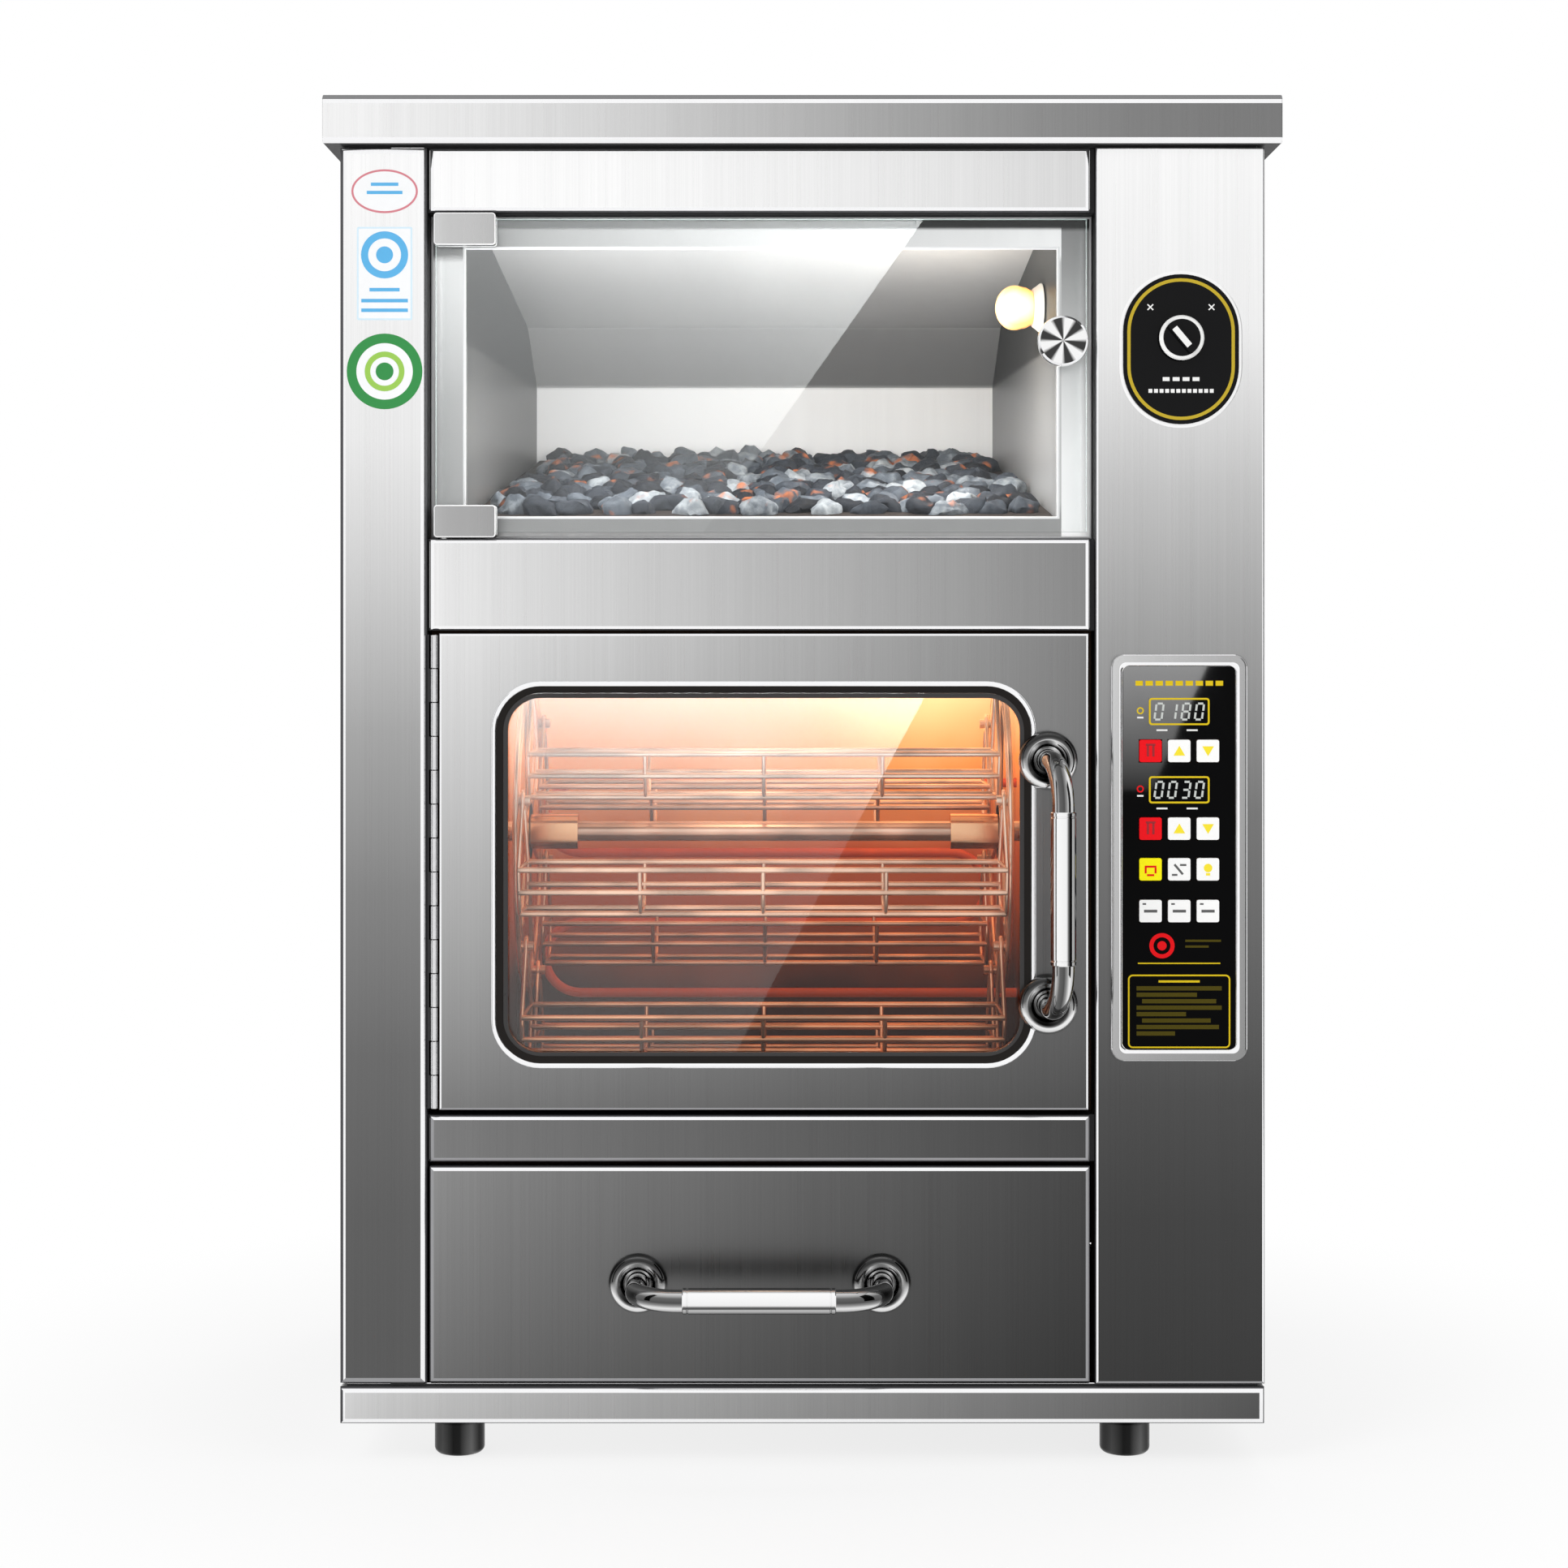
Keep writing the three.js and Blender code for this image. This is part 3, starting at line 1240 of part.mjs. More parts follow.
function switchKnob() {
  const plateFace = -2 * seatGap - switchPlateDepth;
  const face = plateFace - switchKnobDepth;
  const grip = new THREE.BoxGeometry(switchGripWidth, switchGripDepth, switchGripLength);
  grip.rotateY(THREE.MathUtils.degToRad(-switchGripTurn));
  grip.translate(0, plateFace - switchGripDepth / 2, 0);
  return joined(
    bar(switchKnobDiameter, roundSides, 'y', [0, 0, 0], face, plateFace),
    bar(switchSpindle, smallSides, 'y', [0, 0, 0], plateFace - seatGap, switchSpindleTail),
    solid(grip),
  );
}
put(subgroup(group, switchX, 0, switchZ + switchKnobRise), 'switch_knob', switchKnob(), 'black');

// The control panel: a silver bezel, a black fascia with two readouts, and twelve keys.
const bezelCentre = [bezelX, bezelZ];
put(group, 'control_bezel', frame(bezelCentre, bezelWidth, bezelHeight, bezelRound, bezelBand,
  bezelRound / 2, -seatGap - bezelDepth, -seatGap), 'bright');

const fasciaFace = -seatGap - fasciaDepth;
const keyNames = [
  ['key_stop_upper', 'redKey'], ['key_up_upper', 'whiteKey'], ['key_down_upper', 'whiteKey'],
  ['key_stop_lower', 'redKey'], ['key_up_lower', 'whiteKey'], ['key_down_lower', 'whiteKey'],
  ['key_roast', 'yellowKey'], ['key_turn', 'whiteKey'], ['key_lamp', 'whiteKey'],
  ['key_preset_a', 'whiteKey'], ['key_preset_b', 'whiteKey'], ['key_preset_c', 'whiteKey'],
];

function keyPlace(index) {
  return [bezelX + (index % 3 - 1) * keyPitch, bezelZ + keyRowRises[Math.floor(index / 3)]];
}

function controlFascia() {
  const shrink = 2 * (bezelBand + fasciaGap);
  let plate = extruded(roundedRect(bezelCentre, bezelWidth - shrink, bezelHeight - shrink,
    bezelRound / 2 - fasciaGap), 'y', fasciaFace, -seatGap);
  for (const rise of readoutRises) {
    const z = bezelZ + rise;
    plate = plate.add(block([bezelX - readoutWidth / 2, bezelX + readoutWidth / 2],
      [fasciaFace - readoutRise, -2 * seatGap], [z - readoutHeight / 2, z + readoutHeight / 2]));
  }
  const hole = keySize + 2 * keyClearance;
  for (let index = 0; index < keyNames.length; index += 1) {
    const [x, z] = keyPlace(index);
    plate = plate.subtract(blockAt([x, fasciaFace, z], [hole, 2 * fasciaDepth + overrun, hole]));
  }
  return plate;
}
put(group, 'control_fascia', controlFascia(), 'black');

keyNames.forEach(([name, finish], index) => {
  const [x, z] = keyPlace(index);
  const key = block([-keySize / 2, keySize / 2], [fasciaFace - keyProud, keyTail],
    [-keySize / 2, keySize / 2]);
  put(subgroup(group, x, 0, z), name, key, finish);
});

// The whole is moved so that its middle stands over the origin.
const extent = new THREE.Box3().setFromObject(group);
group.position.y = -Math.round((extent.min.y + extent.max.y) / 2 / cornerGrain) * cornerGrain;

export default group;
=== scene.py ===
from math import atan2, cos, hypot, pi, radians, sin

import bmesh
import bpy
from mathutils import Matrix, Vector


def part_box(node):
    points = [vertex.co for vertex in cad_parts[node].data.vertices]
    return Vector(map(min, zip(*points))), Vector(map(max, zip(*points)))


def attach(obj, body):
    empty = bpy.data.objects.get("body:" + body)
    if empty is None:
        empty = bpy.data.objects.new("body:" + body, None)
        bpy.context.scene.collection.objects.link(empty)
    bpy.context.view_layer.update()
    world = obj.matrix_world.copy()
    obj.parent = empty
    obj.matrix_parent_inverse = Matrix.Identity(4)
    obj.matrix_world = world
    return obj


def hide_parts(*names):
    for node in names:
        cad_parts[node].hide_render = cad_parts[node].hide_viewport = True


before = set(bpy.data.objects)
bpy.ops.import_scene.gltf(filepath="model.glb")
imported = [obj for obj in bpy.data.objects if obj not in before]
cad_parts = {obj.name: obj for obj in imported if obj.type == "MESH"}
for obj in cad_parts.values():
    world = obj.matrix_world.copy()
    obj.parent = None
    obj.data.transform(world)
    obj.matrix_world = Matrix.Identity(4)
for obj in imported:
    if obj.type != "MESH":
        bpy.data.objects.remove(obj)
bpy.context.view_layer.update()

# The studio: a level camera straight in front of the roaster, a pale floor that fades into a
# white surround, soft lamps, and dark and bright cards for the polished parts to mirror.
scene = bpy.context.scene
scene.view_settings.view_transform = "Standard"


def put(name, data):
    """A new object in the scene."""
    made = bpy.data.objects.new(name, data)
    scene.collection.objects.link(made)
    return made


lens = bpy.data.cameras.new("studio_camera")
lens.sensor_width = 36
lens.lens = 69.25
lens.shift_y = -0.09
scene.camera = put("studio_camera", lens)
scene.camera.location = (-0.0133, -2.4335, 0.600)
scene.camera.rotation_euler = (radians(90), 0, 0)


def feed(node, inputs):
    """Sets a node's inputs to values, or links them to sockets. A node stands for its first
    output."""
    for key, value in inputs.items():
        if isinstance(value, bpy.types.Node):
            value = value.outputs[0]
        if isinstance(value, bpy.types.NodeSocket):
            node.id_data.links.new(value, node.inputs[key])
        else:
            node.inputs[key].default_value = value


def add(tree, kind, inputs=None, **settings):
    """A new node with its settings and inputs. Its kind goes without the tree's own prefix."""
    own = "GeometryNode" if tree.type == "GEOMETRY" else "ShaderNode"
    made = tree.nodes.new(kind if "Node" in kind else own + kind)
    for key, value in settings.items():
        setattr(made, key, value)
    feed(made, inputs or {})
    return made


class Look:
    """A new or given material or world, with short ways to add nodes to it. A bare one starts
    with no nodes."""

    def __init__(self, made, bare=False):
        self.made = bpy.data.materials.new(made) if isinstance(made, str) else made
        self.made.use_nodes = True
        self.tree = self.made.node_tree
        if bare:
            self.tree.nodes.clear()
        self.shader = self.tree.nodes.get("Principled BSDF")

    def end(self, shader, kind="OutputMaterial"):
        add(self.tree, kind, {"Surface": shader})
        return self.made

    def wear(self, inputs):
        feed(self.shader, inputs)
        return self.made

    def where(self):
        return add(self.tree, "TexCoord").outputs["Object"]

    def along(self, axis):
        return add(self.tree, "SeparateXYZ", {0: self.where()}).outputs[axis]

    def facing(self, axis):
        normal = add(self.tree, "NewGeometry").outputs["Normal"]
        return add(self.tree, "SeparateXYZ", {0: normal}).outputs[axis]

    def math(self, operation, *values):
        return add(self.tree, "Math", dict(enumerate(values)), operation=operation)

    def line(self, value, slope, start):
        """The value times the slope, plus the start."""
        return self.math("MULTIPLY_ADD", value, slope, start)

    def ranged(self, value, *ends, **settings):
        """The value taken from the range between the first two ends to that between the next
        two, which are 0 and 1 where they aren't given."""
        ends = zip(("From Min", "From Max", "To Min", "To Max"), ends)
        return add(self.tree, "MapRange", {"Value": value, **dict(ends)}, **settings)

    def ramp(self, share, stops):
        """Colours along the share, from (place, colour) stops. A number is a grey."""
        made = add(self.tree, "ValToRGB", {"Fac": share})
        bar = made.color_ramp.elements
        while len(bar) < len(stops):
            bar.new(0.5)
        for mark, (place, colour) in zip(bar, stops):
            mark.position = place
            mark.color = (colour,) * 3 + (1,) if isinstance(colour, float) else (*colour, 1)
        return made

    def noise(self, scale, detail=2.0, roughness=0.5, stretch=None):
        place = self.where()
        if stretch:
            place = add(self.tree, "Mapping", {"Vector": place, "Scale": stretch})
        return add(self.tree, "TexNoise", {"Vector": place, "Scale": scale,
                   "Detail": detail, "Roughness": roughness})

    def mix(self, share, first, second):
        return add(self.tree, "Mix", {"Factor": share, 6: first, 7: second},
                   data_type="RGBA").outputs[2]

    def scaled(self, colour, share):
        return add(self.tree, "VectorMath", {0: colour, "Scale": share}, operation="SCALE")

    def bump(self, height, strength, distance=0.0003):
        return add(self.tree, "Bump", {"Strength": strength, "Distance": distance,
                   "Height": height})


def surround():
    scene.world = bpy.data.worlds.new("studio_surround")
    air = Look(scene.world, bare=True)
    ray = add(air.tree, "LightPath").outputs
    seen = air.math("MAXIMUM", ray["Is Camera Ray"], ray["Is Glossy Ray"])
    seen = air.math("MAXIMUM", seen, ray["Is Transmission Ray"])
    level = air.line(seen, 0.45, 0.55)
    air.end(add(air.tree, "Background", {"Color": (1, 1, 1, 1), "Strength": level}),
            "OutputWorld")


surround()


def lamp(name, kind, place, watts, **settings):
    """A lamp that polished parts don't mirror."""
    light = bpy.data.lights.new(name, kind)
    light.energy = watts
    for key, value in settings.items():
        setattr(light, key, value)
    made = put(name, light)
    made.location = place
    made.visible_glossy = False
    return made


for name, place, size, watts in (("key_lamp", (-1.9, -2.2, 2.5), 1.8, 38),
                                 ("fill_lamp", (2.3, -1.8, 1.6), 2.0, 16),
                                 ("rear_lamp", (0.8, 2.4, 2.4), 2.0, 24)):
    soft = lamp(name, "AREA", place, watts, shape="DISK", size=size)
    soft.rotation_mode = "QUATERNION"
    soft.rotation_quaternion = (Vector((0, 0, 0.5)) - Vector(place)).to_track_quat("-Z", "Y")


def studio_floor():
    bm = bmesh.new()
    bmesh.ops.create_circle(bm, cap_ends=True, cap_tris=False, segments=96, radius=14)
    mesh = bpy.data.meshes.new("studio_floor")
    bm.to_mesh(mesh)
    bm.free()
    paper = Look("studio_paper", bare=True)
    reach = add(paper.tree, "VectorMath", {0: paper.where()}, operation="LENGTH")
    fade = paper.ranged(reach.outputs["Value"], 0.38, 0.85, 0.8,
                        interpolation_type="SMOOTHSTEP")
    matt = add(paper.tree, "BsdfDiffuse", {"Color": (0.93, 0.93, 0.93, 1)})
    lit = add(paper.tree, "Emission", {"Color": (1, 1, 1, 1), "Strength": 1.0})
    mesh.materials.append(paper.end(add(paper.tree, "MixShader", {0: fade, 1: matt, 2: lit})))
    put("studio_floor", mesh)


studio_floor()


def studio_card(name, corners, strength=0, fade=None, sweep=None):
    """A flat card that only mirroring surfaces see. It is dark, or clear and glowing where
    strength is given. Its glow grows between the two heights of fade from the share that
    fade gives last, and from left to right in the same way as sweep says."""
    mesh = bpy.data.meshes.new(name)
    mesh.from_pydata(corners, [], [range(len(corners))])
    stock = Look(name, bare=True)
    if strength:
        low, high, least = fade
        level = stock.ranged(stock.along("Z"), low, high, strength * least, strength)
        if sweep:
            level = stock.math("MULTIPLY", level, stock.ranged(stock.along("X"), *sweep))
        lit = add(stock.tree, "Emission", {"Color": (1, 1, 1, 1), "Strength": level})
        face = add(stock.tree, "AddShader", {0: lit, 1: add(stock.tree, "BsdfTransparent")})
    else:
        face = add(stock.tree, "BsdfDiffuse", {"Color": (0.02, 0.02, 0.02, 1)})
    mesh.materials.append(stock.end(face))
    card = put(name, mesh)
    card.visible_camera = card.visible_diffuse = False
    card.visible_transmission = card.visible_shadow = False
    return card


for side, x, near, far in (("left", -1.15, -0.80, -0.50), ("right", 1.15, -1.10, -0.50)):
    studio_card(f"dark_card_{side}", [(x, near, 0.02), (x, far, 0.02), (x, far, 1.5),
                (x, near, 1.5)])

# The glare on the two panes and on the control panel comes from three bright cards with a
# slanting edge. They light those pieces alone.
glare_cards, card_y = [], -1.73
for name, west, east_foot, east_head, foot, head, strength, fade, sweep in (
        ("upper", -0.50, -0.138, 0.20, 0.70, 1.18, 18.2, (0.76, 1.12, 0.08),
         (-0.45, 0.05, 0.35)),
        ("lower", -0.50, -0.108, 0.18, 0.03, 0.572, 21.5, (0.37, 0.57, 0.085), None),
        ("panel", 0.36, 0.437, 0.517, 0.42, 0.60, 120.0, (0.42, 0.58, 0.08), None)):
    outline = ((west, foot), (east_foot, foot), (east_head, head), (west, head))
    glare_cards.append(studio_card(f"glare_card_{name}", [(x, card_y, z) for x, z in outline],
                                   strength, fade, sweep))

# The cabinet: a left side folded round as the left stile, the control column as the right one,
# and three rails between them. All are brushed stainless sheet. Their grey is painted light and
# shade, and their rounded folds carry a painted highlight.
front_y = 233.525
drawing = Matrix.Translation((0, -front_y / 1000, 0)) @ Matrix.Scale(0.001, 4)


def linear(level):
    """The linear value of a 0 to 255 screen grey."""
    share = level / 255
    return share / 12.92 if share <= 0.04045 else ((share + 0.055) / 1.055) ** 2.4


def tone_ramp(look, height, places, levels):
    """Grey along the height: screen greys at places in millimetres above the floor."""
    low, high = places[0], places[-1]
    return look.ramp(look.ranged(height, low / 1000, high / 1000),
                     [((place - low) / (high - low), linear(level))
                      for place, level in zip(places, levels)])


def brushed(name, span, places, left, right=None, roughness=0.30, streak=0.2,
            flat_top=False, bend=0.75):
    """Brushed sheet with fine streaks. Its grey is painted light and shade: it runs up the places,
    from the floor, and across the span, from the left greys to the right ones. The bend says how
    soon the right ones take over."""
    look = Look(name)
    across = look.ranged(look.along("X"), span[0] / 1000, span[1] / 1000,
                         interpolation_type="SMOOTHSTEP" if flat_top else "LINEAR")
    tone = look.mix(look.math("POWER", across, bend),
                    *(tone_ramp(look, look.along("Z"), places, levels)
                      for levels in (left, right or left)))

    def grain(upright, flat, detail):
        """Streaks that run up the sheet, or across it where it lies flat."""
        drawn = look.noise(1.0, detail, 0.65, upright)
        if not flat_top:
            return drawn
        return add(look.tree, "Mix", {
            "Factor": look.math("ABSOLUTE", look.facing("Z")), "A": drawn,
            "B": look.noise(1.0, detail, 0.65, flat)}).outputs["Result"]

    fine = grain((800, 800, 2.5), (2.5, 800, 2.5), 3)
    broad = grain((70, 70, 0.7), (0.7, 70, 1), 2)
    share = look.line(fine, streak, 1 - streak / 2 - 0.05)
    share = look.line(broad, 0.10, share)
    return look.wear({"Base Color": look.scaled(tone, share), "Metallic": 1.0,
                      "Roughness": look.line(fine, 0.18, roughness - 0.09),
                      "Normal": look.bump(fine, 0.12), "Anisotropic": 0.55})


def finish(name, colour, roughness, metallic=0.0, mottle=0.05, grain=220.0, bump=0.05,
           glow=0.0, shine=0.5):
    """A plain finish with a fine unevenness in its colour, its gloss and its surface."""
    look = Look(name)
    noise = look.noise(grain, 3.0, 0.6)
    tone = look.scaled(colour, look.line(noise, 2 * mottle, 1 - mottle))
    rough = look.line(noise, roughness * 0.4, roughness * 0.8)
    look.wear({"Base Color": tone, "Roughness": rough, "Normal": look.bump(noise, bump),
               "Metallic": metallic, "Specular IOR Level": shine})
    if glow:
        look.wear({"Emission Color": tone, "Emission Strength": glow})
    return look.made


# Painted light for the folds: a highlight, shade for gaps and far sides, and a dim highlight.
fold_highlight = finish("fold_highlight", (0.93, 0.93, 0.94), 0.16, 1.0, mottle=0.03, grain=60)
seam_shade = finish("seam_shade", (0.028, 0.028, 0.030), 0.6, 0.4, mottle=0.2)
fold_shade = finish("fold_shade", (0.085, 0.085, 0.09), 0.6, 0.0, mottle=0.08, grain=80,
                    shine=0.05)
fold_soft = finish("fold_soft", (0.33, 0.33, 0.34), 0.3, 0.9, mottle=0.06, grain=80)


def baked(piece, modifier):
    """Keeps what the modifier makes of the piece as its plain mesh."""
    bpy.context.view_layer.update()
    ready = piece.evaluated_get(bpy.context.evaluated_depsgraph_get())
    mesh = bpy.data.meshes.new_from_object(ready)
    piece.modifiers.remove(modifier)
    piece.data = mesh
    return mesh


def smooth(mesh, crease):
    mesh.shade_smooth()
    mesh.set_sharp_from_angle(angle=radians(crease))


def join_row(piece, body, nodes):
    """Makes the object a piece of the roaster that rides on a body."""
    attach(piece, body)
    if nodes:
        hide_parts(*nodes)
    return piece


def settle(name, bm, finishes, body, nodes=(), crease=34):
    """Makes the mesh a piece with its finishes, smooth up to the crease angle."""
    mesh = bpy.data.meshes.new(name)
    bm.to_mesh(mesh)
    bm.free()
    for made in finishes:
        mesh.materials.append(made)
    smooth(mesh, crease)
    piece = put(name, mesh)
    even = piece.modifiers.new("even_normals", "WEIGHTED_NORMAL")
    even.weight = 90
    even.keep_sharp = True
    baked(piece, even)
    return join_row(piece, body, nodes)


def cad_form(node):
    """The node's own form with its triangles merged into whole faces."""
    bm = bmesh.new()
    bm.from_mesh(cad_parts[node].data)
    bmesh.ops.remove_doubles(bm, verts=bm.verts, dist=2e-6)
    bmesh.ops.dissolve_limit(bm, angle_limit=radians(1), verts=bm.verts, edges=bm.edges)
    for face in bm.faces:
        face.material_index = 0
    bm.normal_update()
    return bm


squarely = 0.9  # The least share of a normal along an axis in a face square to that axis.


def paint(bm, index, wanted, among=None):
    """Gives faces another of the piece's finishes, by a rule on their normal and middle. Where
    among is given, only faces that have that finish get it."""
    for face in bm.faces:
        if among in (None, face.material_index) and wanted(face.normal,
                                                           face.calc_center_median()):
            face.material_index = index


def round_edges(bm, edges, width, material=-1, segments=2):
    bmesh.ops.bevel(bm, geom=edges, offset=width / 1000, offset_type="OFFSET",
                    segments=segments, profile=0.5, affect="EDGES", clamp_overlap=True,
                    material=material)
    bm.normal_update()


def soften(bm, width, wanted, sharp=35, material=-1, segments=2):
    """Rounds the edges that stick out, between faces of which at least one is wanted."""
    round_edges(bm, [edge for edge in bm.edges if len(edge.link_faces) == 2
                     and edge.is_convex and edge.calc_face_angle(0) > radians(sharp)
                     and any(wanted(face) for face in edge.link_faces)],
                width, material, segments)


def low_foot(normal, middle):
    """Faces that look down from a low place, where the folds catch little light."""
    return normal.z < -0.1 and middle.z < 0.6


def below(normal, middle):
    """Faces that look down or straight out."""
    return normal.z < 0.1


def sheet_piece(name, node, body, steel, seam=None, front=3.2, rest=0.5, soft=low_foot):
    """A folded sheet: its front outline is rounded, with a painted highlight that turns to painted
    shade towards the side and is dimmer where soft says so, and its other folds are rounded less,
    with the same painted highlight. Faces that seam picks are painted in shade."""
    bm = cad_form(node)
    face_y = max((face for face in bm.faces if face.normal.y < -squarely),
                 key=lambda face: face.calc_area()).calc_center_median().y

    def in_front(face):
        return face.normal.y < -squarely and face.calc_center_median().y < face_y + 0.0015

    def turned_away(normal, middle):
        """The far half of a rounded fold, or more of it at the cabinet's left corner, which is
        painted in shade.
        """
        corner = middle.x < -0.333 and abs(normal.z) < 0.3
        return max(abs(normal.x), abs(normal.z)) > (0.5 if corner else 0.75)

    if seam:
        paint(bm, 2, lambda normal, middle: seam(normal, middle, face_y))
    if front:
        soften(bm, front, in_front, material=1, segments=4)
        paint(bm, 3, turned_away, 1)
        paint(bm, 4, soft, 1)
    if rest:
        soften(bm, rest, lambda face: face.material_index == 0, 60, 1, 1)
    return settle(name, bm, [steel, fold_highlight, seam_shade, fold_shade, fold_soft], body,
                  [node])


doorway, fold_depth, sheet = (-0.28, 0.22), 0.04, 0.0012


def return_gap_shade(normal, middle, front):
    """The folds of a stile that face the doors across a dark gap, painted in shade."""
    return (abs(normal.x) > squarely and doorway[0] < middle.x < doorway[1]
            and middle.y < front + fold_depth)


def rail_gap_shade(normal, middle, front):
    """The ends, the top and the foot of a rail, which the gaps round it show, painted in shade."""
    return middle.y > front + sheet and max(abs(normal.x), abs(normal.z), -normal.y) > squarely


sheet_piece("left_side", "left_side_panel", "cabinet",
            brushed("stile_steel_left", (-338, -270),
                    (30, 93, 181, 299, 418, 536, 655, 750, 950),
                    (92, 93, 97, 109, 134, 168, 210, 235, 252)), return_gap_shade, front=4.4)
column_steel = brushed("stile_steel_right", (214, 338),
                       (60, 181, 270, 477, 607, 655, 714, 830, 950),
                       (62, 70, 81, 122, 163, 178, 197, 240, 249))
sheet_piece("key_column", "control_column", "cabinet", column_steel, return_gap_shade)
sheet_piece("right_side", "right_side_panel", "cabinet", column_steel, front=0.5)
for name, node, slot, low, high, left, right, bend, soft in (
        ("top_rail", "header_rail", "stainless", 914, 962, 255, 218, 1.5, low_foot),
        ("centre_rail", "middle_rail", "stainless", 609, 676, 238, 138, 0.75, low_foot),
        ("foot_rail", "lower_rail", "dark_stainless", 221, 255, 127, 74, 0.75, below)):
    tones = brushed(f"{name}_steel", (-272, 210), (low, high), (left, left), (right, right),
                    bend=bend)
    sheet_piece(name, node, "cabinet", tones, rail_gap_shade, soft=soft)

# The worktop is a folded tray of the same sheet. Its streaks run along it on top and upright on
# its edge, where the light falls off from left to right.
worktop_steel = brushed("worktop_steel", (-350, 330), (960, 1000), (244, 244), (126, 126),
                        flat_top=True, bend=0.7)
# A dark grey for the top fold of the worktop's edge: painted shade.
worktop_top_shade = finish("worktop_top_shade", (0.24, 0.24, 0.245), 0.5, 0.6, mottle=0.06, grain=80)


def cut(bm, place, normal, **settings):
    """Cuts the faces along a plane."""
    bmesh.ops.bisect_plane(bm, geom=bm.verts[:] + bm.edges[:] + bm.faces[:], plane_co=place,
                           plane_no=normal, **settings)


def worktop_piece():
    lip_head, edge_foot, edge_head, fold_head = 0.9627, 0.9668, 0.9916, 0.9945
    bm = cad_form("worktop")
    soften(bm, 0.8, lambda face: abs(face.normal.x) > squarely, material=1)
    for height in (edge_foot, edge_head, fold_head):
        cut(bm, (0, 0, height), (0, 0, 1))
    bm.normal_update()
    front = min(vert.co.y for vert in bm.verts)
    # Painted shade on the underside, low lip and top fold; a painted highlight at the edge's head
    # and foot.
    for face in bm.faces:
        middle = face.calc_center_median()
        if face.normal.z < -0.75 or (middle.z < lip_head and abs(face.normal.z) < 0.5):
            face.material_index = 2
        elif middle.y < front + 0.004 and face.normal.y < -0.2:
            face.material_index = (3 if middle.z > fold_head else 1 if middle.z > edge_head
                                   else 0 if middle.z > edge_foot else 1)
    settle("worktop_tray", bm, [worktop_steel, fold_highlight, seam_shade, worktop_top_shade],
           "cabinet", ["worktop"])


worktop_piece()

# The plinth is a darker folded tray that carries the cabinet and the drawer's guides.
# It shows as a low rail between the drawer and the floor. Its grey is painted light and shade,
# pale at the left and dark at the right, and its thin lip just under the cabinet painted shade.
rim_foot, rim_head = 0.0575, 0.0592
sheet_piece("plinth_tray", "base_plinth", "cabinet",
            brushed("plinth_steel", (-338, 338), (30, 57), (212, 218), (84, 88), bend=0.6),
            lambda normal, middle, front: rim_foot < middle.z < rim_head and abs(normal.z) < 0.5,
            front=4.0, soft=lambda normal, middle: False)

# The feet are turned rubber with a narrower neck and a rounded sole. Two painted highlights run
# down the sides of each.
def lathe(bm, profile, centre, axis, sides=48):
    """Turns (radius, height) points about an axis through the centre, in millimetres. Points
    with radius 0 at the ends close the form."""
    basis = {"x": Matrix(((0, 0, 1), (1, 0, 0), (0, 1, 0))),
             "-x": Matrix(((0, 0, -1), (1, 0, 0), (0, -1, 0))),
             "y": Matrix(((1, 0, 0), (0, 0, 1), (0, -1, 0))),
             "-y": Matrix(((1, 0, 0), (0, 0, -1), (0, 1, 0))),
             "z": Matrix.Identity(3)}[axis]
    rings = []
    for radius, height in profile:
        turns = [2 * pi * step / sides for step in range(sides if radius else 1)]
        rings.append([bm.verts.new(basis @ Vector((radius * cos(turn),
                      radius * sin(turn), height)) + Vector(centre)) for turn in turns])
    for low, high in zip(rings, rings[1:]):
        for step in range(sides):
            after = (step + 1) % sides
            loop = [low[step % len(low)], low[after % len(low)],
                    high[after % len(high)], high[step % len(high)]]
            loop = [vert for i, vert in enumerate(loop) if vert not in loop[:i]]
            if len(loop) > 2:
                bm.faces.new(loop)


def to_row(bm):
    """Takes a form from millimetres to its place on the roaster."""
    bmesh.ops.recalc_face_normals(bm, faces=bm.faces)
    bm.transform(drawing)
    return bm


def turned(name, profile, centre, axis, sides, made_of, body, nodes=()):
    bm = bmesh.new()
    lathe(bm, profile, centre, axis, sides)
    return settle(name, to_row(bm), [made_of], body, nodes)


rubber = Look(finish("moulded_rubber", (0.008, 0.008, 0.009), 0.22, mottle=0.15, grain=400,
                     shine=0.12))
# Painted highlights: the rubber's colour turns pale where the surface faces either side.
rubber.wear({"Base Color": rubber.ramp(rubber.ranged(rubber.facing("X"), -1.0, 1.0), [
    (0.0, 0.003), (0.20, 0.07), (0.42, 0.004), (0.55, 0.008), (0.78, 0.14), (0.92, 0.01),
    (1.0, 0.003)])})
for node in ("foot_front_left", "foot_front_right", "foot_rear_left", "foot_rear_right"):
    middle = sum(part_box(node), Vector()) / 2 * 1000
    turned(f"{node}_turned", [(0, 0), (14, 0), (16.5, 0.8), (18.0, 2.4), (18.5, 4.2),
           (18.5, 22.6), (18.1, 24.2), (17.2, 25.2), (15.6, 26), (15.0, 27), (15.0, 29.7),
           (0, 29.7)], (middle.x, middle.y + front_y, 0), "z", 48, rubber.made, "cabinet",
           [node])

# The back is a plain sheet with two banks of vent slots, each with a pressed hood over it, and
# a row of screws round its edge.
back_y = 520
# The back's grey is painted light, paler towards the top.
back_steel = brushed("back_steel", (-338, 338), (59, 962), (120, 165))
sheet_piece("back_sheet", "back_panel", "cabinet", back_steel, front=0)


